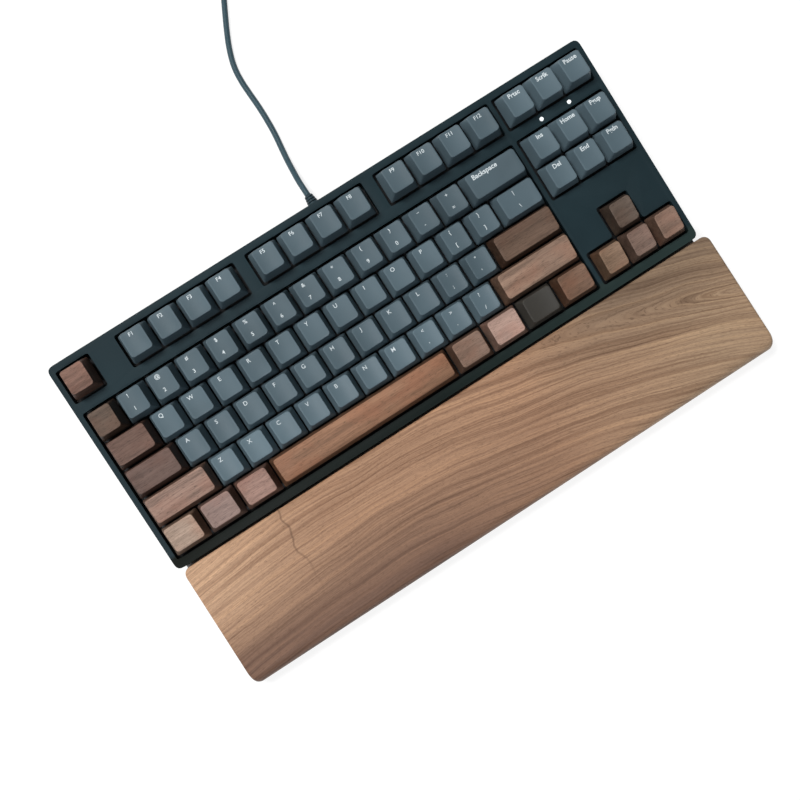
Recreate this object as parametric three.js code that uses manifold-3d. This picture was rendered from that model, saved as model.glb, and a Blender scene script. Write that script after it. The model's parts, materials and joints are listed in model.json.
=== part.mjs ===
// Tenkeyless mechanical keyboard with a wooden wrist rest and a fixed cable.
// Units are millimetres. +X is the user's right, +Y the back, +Z up, and z = 0 is the desk.
// The origin is the bottom centre of the keyboard and its wrist rest, without the cable.
//
// Everything between the two case shells is laid out in the deck frame: x from the left edge
// of the key block, y from its front edge, z from the top face of the switch plate. The deck
// is tilted about X, so the back rows stand higher.

import * as THREE from 'three';
import { mergeVertices } from 'three/addons/utils/BufferGeometryUtils.js';
import Module from 'manifold-3d';

const wasm = await Module();
wasm.setup();

// ---- Driving dimensions -----------------------------------------------------------------

const GAP = 0.3;                      // clearance between neighbouring pieces
const KEY_PITCH = 19.05;              // centre to centre of two neighbouring 1u keys
const BLOCK_UNITS = 18.25;            // width of the key block in key pitches
const FUNCTION_ROW_GAP = 8.5;         // free strip between number row and function row
const DECK_TILT = THREE.MathUtils.degToRad(5);

const CASE_WIDTH = 356;
const CASE_DEPTH = 133.8;
const CASE_CORNER = 4;
const CASE_WALL = 2.5;
const CASE_FLOOR = 2;
const CASE_BASE_Z = 1.5;              // underside of the case above the desk
const FRAME_HEIGHT = 7;               // top face of the case above the switch plate
const FRAME_THICKNESS = 5.5;
const SEAM_HEIGHT = -3;               // joint between the shells, in the deck frame
const FRONT_BORDER = 6.3;             // case front to key block, at the top face
const CUTOUT_MARGIN = 1.1;            // cut-out edge to key cell edge
const CUTOUT_CORNER = 1.6;

const REST_LENGTH = 360;
const REST_DEPTH = 77.2;
const REST_HEIGHT = 18.5;
const REST_CORNER = 4.5;
const REST_SHIFT = 3.5;               // wrist rest centre to the right of the case centre
const REST_TO_CASE = 1.5;

const PLATE_THICKNESS = 1.5;
const BOARD_TOP = -5;                 // circuit board top face below the switch plate
const BOARD_THICKNESS = 1.6;
const DECK_FRONT_Z = 13;              // switch plate above the desk at the front row

const KEY_TRAVEL = 4;
const RIM_HEIGHT = 6.5;               // lower rim of a keycap above the switch plate
const CAP_GAP = 0.95;                 // between the bases of two neighbouring keycaps
const CAP_WALL = 1.3;
const CAP_TOP_NARROWING = 5.6;        // how much narrower a keycap's top is than its base
const CAP_TOP_DEPTH = 13.9;
const CAP_TOP_SKEW = 0.5;             // keycap top centre behind its base centre

const CABLE_RADIUS = 1.8;
const CABLE_EXIT_Z = 8.5;
const BOOT_LENGTH = 11;               // strain relief outside the back wall

// ---- Derived places ---------------------------------------------------------------------

const CASE_X = -(REST_SHIFT + (REST_LENGTH - CASE_WIDTH) / 2) / 2;
const REST_X = CASE_X + REST_SHIFT;
const TOTAL_DEPTH = CASE_DEPTH + REST_TO_CASE + REST_DEPTH;
const CASE_BACK_Y = TOTAL_DEPTH / 2;
const CASE_FRONT_Y = CASE_BACK_Y - CASE_DEPTH;
const REST_BACK_Y = CASE_FRONT_Y - REST_TO_CASE;
const REST_FRONT_Y = REST_BACK_Y - REST_DEPTH;

const BLOCK_WIDTH = BLOCK_UNITS * KEY_PITCH;
const FUNCTION_ROW_UNITS = 5 + FUNCTION_ROW_GAP / KEY_PITCH;
const BLOCK_DEPTH = (FUNCTION_ROW_UNITS + 1) * KEY_PITCH;
const DECK_X = CASE_X - BLOCK_WIDTH / 2;
const DECK_Y = CASE_FRONT_Y + FRONT_BORDER * Math.cos(DECK_TILT) + FRAME_HEIGHT * Math.sin(DECK_TILT);
const deckMatrix = new THREE.Matrix4().makeRotationX(DECK_TILT)
  .setPosition(DECK_X, DECK_Y, DECK_FRONT_Z);

// Height above the desk of the deck plane that lies `height` above the switch plate.
function deckPlaneZ(y, height) {
  return DECK_FRONT_Z + height / Math.cos(DECK_TILT) + (y - DECK_Y) * Math.tan(DECK_TILT);
}

// ---- Solids -----------------------------------------------------------------------------

function toSolid(geometry) {
  geometry.deleteAttribute('normal');
  geometry.deleteAttribute('uv');
  const merged = mergeVertices(geometry, 1e-4);
  return new wasm.Manifold(new wasm.Mesh({
    numProp: 3,
    vertProperties: new Float32Array(merged.attributes.position.array),
    triVerts: new Uint32Array(merged.index.array),
  }));
}

function toGeometry(solid) {
  const result = solid.getMesh();
  const geometry = new THREE.BufferGeometry();
  geometry.setAttribute('position', new THREE.BufferAttribute(result.vertProperties, 3));
  geometry.setIndex(new THREE.BufferAttribute(result.triVerts, 1));
  return geometry;
}

function toMesh(name, solid, material, parent) {
  const geometry = toGeometry(solid);
  geometry.computeVertexNormals();
  const mesh = new THREE.Mesh(geometry, material.clone());
  mesh.name = name;
  parent.add(mesh);
  return mesh;
}

const subtractAll = (solid, cutters) => cutters.reduce((rest, cutter) => rest.subtract(cutter), solid);
const addAll = (solids) => solids.reduce((sum, solid) => sum.add(solid));

// Box from its centre in x and y and its lower and upper z.
function box(width, depth, z0, z1, x = 0, y = 0, matrix = null) {
  const geometry = new THREE.BoxGeometry(width, depth, z1 - z0);
  geometry.translate(x, y, (z0 + z1) / 2);
  if (matrix) geometry.applyMatrix4(matrix);
  return toSolid(geometry);
}

// Upright cylinder from z0 to z1.
function post(radius, z0, z1, x, y, matrix = null, sides = 12) {
  const geometry = new THREE.CylinderGeometry(radius, radius, z1 - z0, sides);
  geometry.rotateX(Math.PI / 2);
  geometry.translate(x, y, (z0 + z1) / 2);
  if (matrix) geometry.applyMatrix4(matrix);
  return toSolid(geometry);
}

// Cylinder between two points.
function rod(start, end, radius, sides = 8) {
  const axis = new THREE.Vector3().subVectors(end, start);
  const geometry = new THREE.CylinderGeometry(radius, radius, axis.length(), sides);
  const turn = new THREE.Quaternion()
    .setFromUnitVectors(new THREE.Vector3(0, 1, 0), axis.clone().normalize());
  geometry.applyQuaternion(turn);
  geometry.translate(...new THREE.Vector3().addVectors(start, end).multiplyScalar(0.5));
  return toSolid(geometry);
}

// Closed outline with its corners rounded by the given radius.
function roundedShape(points, radius) {
  const shape = new THREE.Shape();
  points.forEach((point, index) => {
    const corner = new THREE.Vector2(...point);
    const before = new THREE.Vector2(...points.at(index - 1));
    const after = new THREE.Vector2(...points[(index + 1) % points.length]);
    const entry = corner.clone().lerp(before, radius / corner.distanceTo(before));
    const exit = corner.clone().lerp(after, radius / corner.distanceTo(after));
    if (index === 0) shape.moveTo(entry.x, entry.y);
    else shape.lineTo(entry.x, entry.y);
    shape.quadraticCurveTo(corner.x, corner.y, exit.x, exit.y);
  });
  shape.closePath();
  return shape;
}

function rectanglePoints(x0, y0, x1, y1) {
  return [[x0, y0], [x1, y0], [x1, y1], [x0, y1]];
}

// Plan outline pushed up from z0 to z1.
function planPrism(shape, z0, z1, cornerSteps = 4, matrix = null) {
  const geometry = new THREE.ExtrudeGeometry(shape, {
    depth: z1 - z0, bevelEnabled: false, curveSegments: cornerSteps,
  });
  geometry.translate(0, 0, z0);
  if (matrix) geometry.applyMatrix4(matrix);
  return toSolid(geometry);
}

// Side outline, given as (y, z), pushed along X from x0 to x1.
function sidePrism(shape, x0, x1, curveSteps = 4) {
  const geometry = new THREE.ExtrudeGeometry(shape, {
    depth: x1 - x0, bevelEnabled: false, curveSegments: curveSteps,
  });
  geometry.applyMatrix4(new THREE.Matrix4().makeBasis(
    new THREE.Vector3(0, 1, 0), new THREE.Vector3(0, 0, 1), new THREE.Vector3(1, 0, 0)));
  geometry.translate(x0, 0, 0);
  return toSolid(geometry);
}

// Closed solid through rings of points that run anticlockwise seen from above.
function loft(rings) {
  const count = rings[0].length;
  const triangles = [];
  for (let ring = 0; ring + 1 < rings.length; ring += 1) {
    for (let i = 0; i < count; i += 1) {
      const a = ring * count + i;
      const b = ring * count + (i + 1) % count;
      triangles.push(a, b, b + count, a, b + count, a + count);
    }
  }
  const last = (rings.length - 1) * count;
  for (let i = 1; i + 1 < count; i += 1) {
    triangles.push(0, i + 1, i, last, last + i, last + i + 1);
  }
  return new wasm.Manifold(new wasm.Mesh({
    numProp: 3,
    vertProperties: new Float32Array(rings.flat(2)),
    triVerts: new Uint32Array(triangles),
  }));
}

// Four-sided block from a low to a high rectangle, each given as [width, depth, y offset].
function frustum(low, high, z0, z1, x, y) {
  const corners = (rectangle, z) => [[-1, -1], [1, -1], [1, 1], [-1, 1]].map(([sideX, sideY]) => [
    x + sideX * rectangle[0] / 2, y + rectangle[2] + sideY * rectangle[1] / 2, z]);
  return loft([corners(low, z0), corners(high, z1)]);
}

// ---- Materials --------------------------------------------------------------------------

function material(color, roughness, metalness = 0) {
  return new THREE.MeshStandardMaterial({ color, roughness, metalness });
}

const casePlastic = material(0x24353f, 0.55);
const greyCap = material(0x6b7c88, 0.6);
const oliveCap = material(0x3f3b35, 0.6);
const walnut = material(0x8a5f4a, 0.65);
const paleWalnut = material(0xa87858, 0.6);
const steel = material(0x8f9396, 0.35, 1);
const boardGreen = material(0x1f4a36, 0.5);
const switchPlastic = material(0x1c1d20, 0.5);
const rubber = material(0x17181a, 0.9);
const cableSleeve = material(0x35505c, 0.7);
const plugPlastic = material(0x24353f, 0.5);
const indicatorLens = material(0xe8eef0, 0.3);

// ---- Key layout -------------------------------------------------------------------------

// Rows from front to back: centre line in key pitches, cap height and tilt of the cap's top.
const rows = {
  bottom: { units: 0.5, height: 9.3, tilt: 9 },
  lower: { units: 1.5, height: 9.3, tilt: 8 },
  home: { units: 2.5, height: 9.1, tilt: 5 },
  upper: { units: 3.5, height: 9.6, tilt: 0 },
  number: { units: 4.5, height: 11.2, tilt: -4 },
  function: { units: FUNCTION_ROW_UNITS + 0.5, height: 11.2, tilt: -4 },
};

// Each entry is one moving piece: name, row, centre of its first key and its key widths, both
// in key pitches, its material, and where it has stabiliser posts, their distance from centre.
const SHORT_STABILISER = 11.94;
const LONG_STABILISER = 50;
const keyPieces = [
  ['key_escape', 'function', 0.5, [1], walnut],
  ['keys_f1_f4', 'function', 2.5, [1, 1, 1, 1], greyCap],
  ['keys_f5_f8', 'function', 7, [1, 1, 1, 1], greyCap],
  ['keys_f9_f12', 'function', 11.5, [1, 1, 1, 1], greyCap],
  ['keys_print_pause', 'function', 15.75, [1, 1, 1], greyCap],
  ['key_grave', 'number', 0.5, [1], walnut],
  ['keys_1_6', 'number', 1.5, [1, 1, 1, 1, 1, 1], greyCap],
  ['keys_7_equals', 'number', 7.5, [1, 1, 1, 1, 1, 1], greyCap],
  ['key_backspace', 'number', 14, [2], greyCap, SHORT_STABILISER],
  ['keys_insert_pageup', 'number', 15.75, [1, 1, 1], greyCap],
  ['key_tab', 'upper', 0.75, [1.5], walnut],
  ['keys_q_y', 'upper', 2, [1, 1, 1, 1, 1, 1], greyCap],
  ['keys_u_backslash', 'upper', 8, [1, 1, 1, 1, 1, 1, 1.5], greyCap],
  ['keys_delete_pagedown', 'upper', 15.75, [1, 1, 1], greyCap],
  ['key_caps_lock', 'home', 0.875, [1.75], walnut],
  ['keys_a_h', 'home', 2.25, [1, 1, 1, 1, 1, 1], greyCap],
  ['keys_j_quote', 'home', 8.25, [1, 1, 1, 1, 1], greyCap],
  ['key_enter', 'home', 13.875, [2.25], walnut, SHORT_STABILISER],
  ['key_left_shift', 'lower', 1.125, [2.25], walnut, SHORT_STABILISER],
  ['keys_z_b', 'lower', 2.75, [1, 1, 1, 1, 1], greyCap],
  ['keys_n_slash', 'lower', 7.75, [1, 1, 1, 1, 1], greyCap],
  ['key_right_shift', 'lower', 13.625, [2.75], walnut, SHORT_STABILISER],
  ['key_up', 'lower', 16.75, [1], walnut],
  ['key_left_ctrl', 'bottom', 0.625, [1.25], walnut],
  ['key_left_os', 'bottom', 1.875, [1.25], walnut],
  ['key_left_alt', 'bottom', 3.125, [1.25], walnut],
  ['key_space', 'bottom', 6.875, [6.25], paleWalnut, LONG_STABILISER],
  ['key_right_alt', 'bottom', 10.625, [1.25], walnut],
  ['key_fn', 'bottom', 11.875, [1.25], walnut],
  ['key_menu', 'bottom', 13.125, [1.25], oliveCap],
  ['key_right_ctrl', 'bottom', 14.375, [1.25], walnut],
  ['key_left', 'bottom', 15.75, [1], walnut],
  ['key_down', 'bottom', 16.75, [1], walnut],
  ['key_right', 'bottom', 17.75, [1], walnut],
].map(([name, rowName, first, widths, finish, stabiliser]) => {
  const row = rows[rowName];
  let left = first - widths[0] / 2;
  const keys = widths.map((width) => {
    const key = { x: (left + width / 2) * KEY_PITCH, y: row.units * KEY_PITCH, width };
    left += width;
    return key;
  });
  return { name, row, keys, finish, stabiliser };
});
const allKeys = keyPieces.flatMap((piece) => piece.keys);
const stabilisedPieces = keyPieces.filter((piece) => piece.stabiliser);

// ---- Case -------------------------------------------------------------------------------

// Closed space between two heights that follow y, inside the case's plan shrunk by `inset`.
function caseSpace(inset, lowAt, highAt, radius = CASE_CORNER - inset) {
  const halfWidth = CASE_WIDTH / 2 - inset;
  const y0 = CASE_FRONT_Y + inset;
  const y1 = CASE_BACK_Y - inset;
  const plan = roundedShape(
    rectanglePoints(CASE_X - halfWidth, y0, CASE_X + halfWidth, y1), radius);
  const side = new THREE.Shape([[y0, lowAt(y0)], [y1, lowAt(y1)], [y1, highAt(y1)], [y0, highAt(y0)]]
    .map((point) => new THREE.Vector2(...point)));
  const tallest = highAt(y1) + 1;
  return planPrism(plan, 0, tallest).intersect(
    sidePrism(side, CASE_X - halfWidth - 1, CASE_X + halfWidth + 1));
}

const baseAt = () => CASE_BASE_Z;
const floorAt = () => CASE_BASE_Z + CASE_FLOOR;
const topAt = (y) => deckPlaneZ(y, FRAME_HEIGHT);
const ceilingAt = (y) => deckPlaneZ(y, FRAME_HEIGHT - FRAME_THICKNESS);
const aboveSeamAt = (y) => deckPlaneZ(y, SEAM_HEIGHT + GAP / 2);
const belowSeamAt = (y) => deckPlaneZ(y, SEAM_HEIGHT - GAP / 2);
const INNER_CORNER = 1.5;

// Openings in the top shell, in key pitches, one for each group of keys.
const functionRowGroups = [[0, 1], [2, 6], [6.5, 10.5], [11, 15], [15.25, 18.25]];
const cutouts = [
  ...functionRowGroups.map(([left, right]) => rectanglePoints(
    left, FUNCTION_ROW_UNITS, right, FUNCTION_ROW_UNITS + 1)),
  rectanglePoints(0, 0, 15, 5),
  rectanglePoints(15.25, 3, 18.25, 5),
  [[15.25, 0], [18.25, 0], [18.25, 1], [17.25, 1], [17.25, 2], [16.25, 2], [16.25, 1], [15.25, 1]],
];

// Moves each side of an outline with square corners outwards by the cut-out margin.
function widen(points) {
  return points.map(([x, y], index) => {
    const before = points.at(index - 1);
    const after = points[(index + 1) % points.length];
    const along = [x - before[0], y - before[1]];
    const onward = [after[0] - x, after[1] - y];
    const outX = Math.sign(along[1] + onward[1]) * CUTOUT_MARGIN;
    const outY = -Math.sign(along[0] + onward[0]) * CUTOUT_MARGIN;
    return [x * KEY_PITCH + outX, y * KEY_PITCH + outY];
  });
}

const INDICATOR_UNITS = [16.25, 17.25];
const INDICATOR_Y = 5 * KEY_PITCH + FUNCTION_ROW_GAP / 2;
const INDICATOR_RADIUS = 1.2;

function makeTopCase() {
  const outer = caseSpace(0, aboveSeamAt, topAt);
  const inner = caseSpace(CASE_WALL, baseAt, ceilingAt, INNER_CORNER);
  const openings = cutouts.map((outline) => planPrism(
    roundedShape(widen(outline), CUTOUT_CORNER), -1, FRAME_HEIGHT + 2, 3, deckMatrix));
  const indicatorHoles = INDICATOR_UNITS.map((units) => post(
    INDICATOR_RADIUS + GAP, -1, FRAME_HEIGHT + 2, units * KEY_PITCH, INDICATOR_Y, deckMatrix));
  return subtractAll(outer, [inner, ...openings, ...indicatorHoles]);
}

// Folding feet under the back edge.
const FOOT_X = 138;                   // from the case centre
const FOOT_WIDTH = 22;
const FOOT_LENGTH = 17;               // hinge axis to tip
const FOOT_THICKNESS = 3.4;
const FOOT_BARREL_RADIUS = 2.4;
const FOOT_PIN_RADIUS = 1.2;
const FOOT_PIN_REACH = 1.5;
const FOOT_AXIS_Y = CASE_BACK_Y - 15;
const FOOT_AXIS_Z = CASE_BASE_Z + FOOT_BARREL_RADIUS + 0.3;
const POCKET_WALL = 2.4;
const POCKET_TOP_Z = FOOT_AXIS_Z + FOOT_BARREL_RADIUS + GAP;

// Screw posts that carry the switch plate, placed between keys, in key pitches.
const POST_RADIUS = 2.5;
const plateMiddleStrip = INDICATOR_Y / KEY_PITCH;
const postPlaces = [
  [1.25, 0.5], [8.25, 0.5], [12.5, 0.5], [17.75, 1.5], [16.75, 2.5],
  [3, plateMiddleStrip], [9, plateMiddleStrip], [14.5, plateMiddleStrip],
];

// Strain relief of the cable: its radius in the wall's hole, behind the wall and at its end.
const BOOT_NECK_RADIUS = 3.2;
const BOOT_SHOULDER_RADIUS = 4.2;
const BOOT_END_RADIUS = 2.3;

function makeBottomCase() {
  const outer = caseSpace(0, baseAt, belowSeamAt);
  const inner = caseSpace(CASE_WALL, floorAt, topAt, INNER_CORNER);
  const inside = caseSpace(CASE_WALL, baseAt, topAt, INNER_CORNER);
  const posts = postPlaces.map(([x, y]) => post(POST_RADIUS, -30, -PLATE_THICKNESS - GAP,
    x * KEY_PITCH, y * KEY_PITCH, deckMatrix).intersect(inside));
  let shell = outer.subtract(inner);
  const pocketY0 = FOOT_AXIS_Y - FOOT_LENGTH - 1;
  const pocketY1 = FOOT_AXIS_Y + FOOT_BARREL_RADIUS + 0.6;
  const pocketDepth = pocketY1 - pocketY0;
  const pocketY = (pocketY0 + pocketY1) / 2;
  for (const side of [-1, 1]) {
    const x = CASE_X + side * FOOT_X;
    const pocketWidth = FOOT_WIDTH + 2 * GAP;
    const cheek = (centre) => new THREE.Vector3(centre, FOOT_AXIS_Y, FOOT_AXIS_Z);
    const reach = pocketWidth / 2 + FOOT_PIN_REACH;
    shell = shell
      .add(box(pocketWidth + 2 * POCKET_WALL, pocketDepth + 2 * POCKET_WALL, CASE_BASE_Z,
        POCKET_TOP_Z + POCKET_WALL, x, pocketY))
      .subtract(box(pocketWidth, pocketDepth, 0, POCKET_TOP_Z, x, pocketY))
      .subtract(rod(cheek(x - reach), cheek(x + reach), FOOT_PIN_RADIUS + GAP, 12));
  }
  const cableHole = rod(new THREE.Vector3(CASE_X, CASE_BACK_Y - 10, CABLE_EXIT_Z),
    new THREE.Vector3(CASE_X, CASE_BACK_Y + 10, CABLE_EXIT_Z), BOOT_NECK_RADIUS + GAP, 16);
  return addAll([shell, ...posts]).subtract(cableHole);
}

// A foot folded flat: a blade on a barrel, with a stub pin at each end.
function makeFoot(side) {
  const x = CASE_X + side * FOOT_X;
  const half = FOOT_WIDTH / 2;
  const at = (offset) => new THREE.Vector3(x + offset, FOOT_AXIS_Y, FOOT_AXIS_Z);
  const blade = box(FOOT_WIDTH, FOOT_LENGTH, FOOT_AXIS_Z - FOOT_THICKNESS / 2,
    FOOT_AXIS_Z + FOOT_THICKNESS / 2, x, FOOT_AXIS_Y - FOOT_LENGTH / 2);
  const barrel = rod(at(-half), at(half), FOOT_BARREL_RADIUS, 16);
  const pinLength = half + FOOT_PIN_REACH;
  return addAll([blade, barrel, rod(at(-pinLength), at(pinLength), FOOT_PIN_RADIUS, 12)]);
}

// A flat rubber pad between the desk and an underside.
function makePad(width, depth, x, y) {
  const shape = roundedShape(
    rectanglePoints(x - width / 2, y - depth / 2, x + width / 2, y + depth / 2), depth * 0.3);
  return planPrism(shape, 0, CASE_BASE_Z - GAP);
}

// ---- Switch plate, switches and circuit board, in the deck frame ---------------------------

const SWITCH_BODY = 13.6;
const SWITCH_FLANGE = 15.6;
const SWITCH_TOP_WIDTH = 11.2;
const SWITCH_TOP = 6.6;
const SLIDER_WIDTH = 6.6;
const SLIDER_DEPTH = 5.2;
const SLIDER_LOW = 1.2;               // lower end of a slider at rest
const STABILISER_SLOT_WIDTH = 6.6;
const STABILISER_SLOT = [-9.3, 4.2];  // slot ends in front of and behind the key's centre line

function makeSwitchPlate() {
  const edge = 1;
  const plate = box(BLOCK_WIDTH + 2 * edge, BLOCK_DEPTH + 2 * edge, -PLATE_THICKNESS, 0,
    BLOCK_WIDTH / 2, BLOCK_DEPTH / 2);
  const switchHoles = allKeys.map((key) => box(
    SWITCH_BODY + 2 * GAP, SWITCH_BODY + 2 * GAP, -PLATE_THICKNESS - 1, 1, key.x, key.y));
  const slots = stabilisedPieces.flatMap(({ keys: [key], stabiliser }) => [-1, 1].map((side) => box(
    STABILISER_SLOT_WIDTH, STABILISER_SLOT[1] - STABILISER_SLOT[0], -PLATE_THICKNESS - 1, 1,
    key.x + side * stabiliser, key.y + (STABILISER_SLOT[0] + STABILISER_SLOT[1]) / 2)));
  return subtractAll(plate, [...switchHoles, ...slots]);
}

// The switches, held in one piece by a thin sheet on the circuit board.
function makeSwitchBank() {
  const low = BOARD_TOP + GAP;
  const sheet = box(BLOCK_WIDTH - 2, BLOCK_DEPTH - 2, low, low + 0.8, BLOCK_WIDTH / 2, BLOCK_DEPTH / 2);
  const housings = allKeys.map(({ x, y }) => addAll([
    box(SWITCH_BODY, SWITCH_BODY, low, GAP + 0.4, x, y),
    frustum([SWITCH_FLANGE, SWITCH_FLANGE, 0], [SWITCH_TOP_WIDTH, SWITCH_TOP_WIDTH, 0],
      GAP, SWITCH_TOP, x, y),
  ]));
  const pocketLow = SLIDER_LOW - KEY_TRAVEL - GAP;
  const pockets = allKeys.map(({ x, y }) => box(
    SLIDER_WIDTH + 2 * GAP, SLIDER_DEPTH + 2 * GAP, pocketLow, SWITCH_TOP + 1, x, y));
  return subtractAll(addAll([sheet, ...housings]), [...pockets, ...boardPostHoles()]);
}

function boardPostHoles() {
  return postPlaces.map(([x, y]) => post(
    POST_RADIUS + 2 * GAP, BOARD_TOP - 5, 0, x * KEY_PITCH, y * KEY_PITCH, null, 8));
}

function makeCircuitBoard() {
  const board = box(BLOCK_WIDTH - 1, BLOCK_DEPTH - 2, BOARD_TOP - BOARD_THICKNESS, BOARD_TOP,
    BLOCK_WIDTH / 2, BLOCK_DEPTH / 2);
  return subtractAll(board, boardPostHoles());
}

// ---- Keys, in the deck frame ---------------------------------------------------------------

const CAP_ROOF = 2;
const TIE_WIDTH = 4;
const TIE_HEIGHT = 1.6;
const STABILISER_POST_WIDTH = 4.6;
const STABILISER_POST_DEPTH = 5.6;
const STABILISER_POST_LOW = 3.1;      // lower end of a stabiliser post at rest

// One keycap with the switch slider below it.
function makeKey(key, row, stabiliser) {
  const baseWidth = key.width * KEY_PITCH - CAP_GAP;
  const baseDepth = KEY_PITCH - CAP_GAP;
  const topWidth = baseWidth - CAP_TOP_NARROWING;
  const roofZ = RIM_HEIGHT + row.height;
  const slope = Math.tan(THREE.MathUtils.degToRad(row.tilt));
  const ring = (width, depth, skew, z, tilt) => [[-1, -1], [1, -1], [1, 1], [-1, 1]].map(
    ([sideX, sideY]) => [key.x + sideX * width / 2, key.y + skew + sideY * depth / 2,
      z + sideY * depth / 2 * tilt]);
  const outside = loft([
    ring(baseWidth, baseDepth, 0, RIM_HEIGHT, 0),
    ring(topWidth, CAP_TOP_DEPTH, CAP_TOP_SKEW, roofZ, slope),
  ]);
  const inside = loft([
    ring(baseWidth - 2 * CAP_WALL, baseDepth - 2 * CAP_WALL, 0, RIM_HEIGHT - 0.05, 0),
    ring(topWidth - 2 * CAP_WALL, CAP_TOP_DEPTH - 2 * CAP_WALL, CAP_TOP_SKEW,
      roofZ - CAP_ROOF, slope),
  ]);
  const stemTop = roofZ - CAP_ROOF + 0.3;
  const stems = [box(SLIDER_WIDTH, SLIDER_DEPTH, SLIDER_LOW, stemTop, key.x, key.y)];
  if (stabiliser) {
    for (const side of [-1, 1]) {
      stems.push(box(STABILISER_POST_WIDTH, STABILISER_POST_DEPTH, STABILISER_POST_LOW, stemTop,
        key.x + side * stabiliser, key.y));
    }
  }
  return addAll([outside.subtract(inside), ...stems]);
}

// Keys that share one moving piece are tied at their rims by short bars.
function makeKeyPiece({ keys, row, stabiliser }) {
  const ties = keys.slice(1).map((key) => {
    const edge = key.x - key.width * KEY_PITCH / 2;
    return box(CAP_GAP + 1.8, TIE_WIDTH, RIM_HEIGHT + 0.1, RIM_HEIGHT + TIE_HEIGHT, edge, key.y);
  });
  return addAll([...keys.map((key) => makeKey(key, row, stabiliser)), ...ties]);
}

// Stabiliser wire: a long run that turns in front of the key, with an arm up to each post.
const WIRE_RADIUS = 0.8;
const WIRE_AXIS = { y: -9.5, z: -2.6 };  // from the key's centre line and the switch plate
const WIRE_TIP_Z = 2;

function makeStabiliserWire({ keys: [key], stabiliser }) {
  const point = (side, y, z) => new THREE.Vector3(key.x + side * stabiliser, key.y + y, z);
  const arms = [-1, 1].map((side) => rod(
    point(side, WIRE_AXIS.y, WIRE_AXIS.z), point(side, 0, WIRE_TIP_Z), WIRE_RADIUS));
  const overhang = WIRE_RADIUS / stabiliser;
  const run = rod(point(-1 - overhang, WIRE_AXIS.y, WIRE_AXIS.z),
    point(1 + overhang, WIRE_AXIS.y, WIRE_AXIS.z), WIRE_RADIUS);
  return addAll([run, ...arms]);
}

// ---- Wrist rest -------------------------------------------------------------------------

// The top falls slightly towards the user and rolls over into an upright front.
const REST_FALL = 2.5;
const REST_ROLL = 6.5;
const REST_CHAMFER = 1.2;

function makeWristRest() {
  const frontTop = REST_HEIGHT - REST_FALL;
  const side = new THREE.Shape();
  side.moveTo(REST_FRONT_Y + REST_CHAMFER, CASE_BASE_Z);
  side.lineTo(REST_BACK_Y, CASE_BASE_Z);
  side.lineTo(REST_BACK_Y, REST_HEIGHT - REST_CHAMFER);
  side.lineTo(REST_BACK_Y - REST_CHAMFER, REST_HEIGHT);
  side.lineTo(REST_FRONT_Y + REST_ROLL, frontTop);
  side.quadraticCurveTo(REST_FRONT_Y, frontTop, REST_FRONT_Y, frontTop - REST_ROLL);
  side.lineTo(REST_FRONT_Y, CASE_BASE_Z + REST_CHAMFER);
  const half = REST_LENGTH / 2;
  const plan = roundedShape(
    rectanglePoints(REST_X - half, REST_FRONT_Y, REST_X + half, REST_BACK_Y), REST_CORNER);
  return sidePrism(side, REST_X - half, REST_X + half, 8)
    .intersect(planPrism(plan, 0, REST_HEIGHT + 1, 6));
}

// ---- Cable ------------------------------------------------------------------------------

const BOOT_BACK_Y = CASE_BACK_Y + BOOT_LENGTH;

function makeCableBoot() {
  const flange = 1.6;
  const flangeBack = CASE_BACK_Y - CASE_WALL - GAP;
  const profile = [
    [0, flangeBack - flange],
    [BOOT_NECK_RADIUS + flange, flangeBack - flange],
    [BOOT_NECK_RADIUS + flange, flangeBack],
    [BOOT_NECK_RADIUS, flangeBack],
    [BOOT_NECK_RADIUS, CASE_BACK_Y + GAP],
    [BOOT_SHOULDER_RADIUS, CASE_BACK_Y + GAP],
    [BOOT_SHOULDER_RADIUS, CASE_BACK_Y + 2],
    [BOOT_SHOULDER_RADIUS - 0.7, CASE_BACK_Y + 3],
    [BOOT_END_RADIUS, BOOT_BACK_Y],
    [0, BOOT_BACK_Y],
  ].map(([radius, y]) => new THREE.Vector2(radius, y));
  const geometry = new THREE.LatheGeometry(profile, 16);
  geometry.applyMatrix4(new THREE.Matrix4().makeTranslation(CASE_X, 0, CABLE_EXIT_Z));
  return toSolid(geometry);
}

// Centre line of the free cable from the strain relief to the coil. Each point is given to the
// right of the strain relief's axis, behind the case's back wall and above the desk.
const cableRoute = [
  [0, BOOT_LENGTH + GAP, CABLE_EXIT_Z],
  [0, 15.8, 8.2],
  [0.1, 21.8, 7.1],
  [0.7, 28.8, 5.3],
  [1.5, 36.8, 3.5],
  [2.7, 45.8, 2.3],
  [3.9, 54.8, 1.95],
  [4.5, 63.8, 1.9],
  [4.7, 73.8, 1.9],
  [4.4, 83.8, 1.9],
  [4.3, 92.8, 1.9],
  [5.2, 101.8, 1.9],
  [8.1, 111.8, 1.9],
  [12.4, 121.8, 1.9],
  [17.4, 131.8, 1.9],
  [22.6, 141.8, 1.9],
  [27.8, 151.8, 1.9],
  [30.9, 157.4, 1.9],
].map(([right, behind, z]) => [CASE_X + right, CASE_BACK_Y + behind, z]);

// The rest of the cable lies in a round coil that the route meets as a tangent.
const COIL_CENTRE = { x: CASE_X + 60.95, y: CASE_BACK_Y + 158.65 };
const COIL_PITCH = 3.7;               // between neighbouring turns and between layers
const COIL_OUTER = 25.8;              // centre line of the outermost turn
const COIL_TURNS = 2.8;               // in each layer
const COIL_LAYERS = 4;

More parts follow.
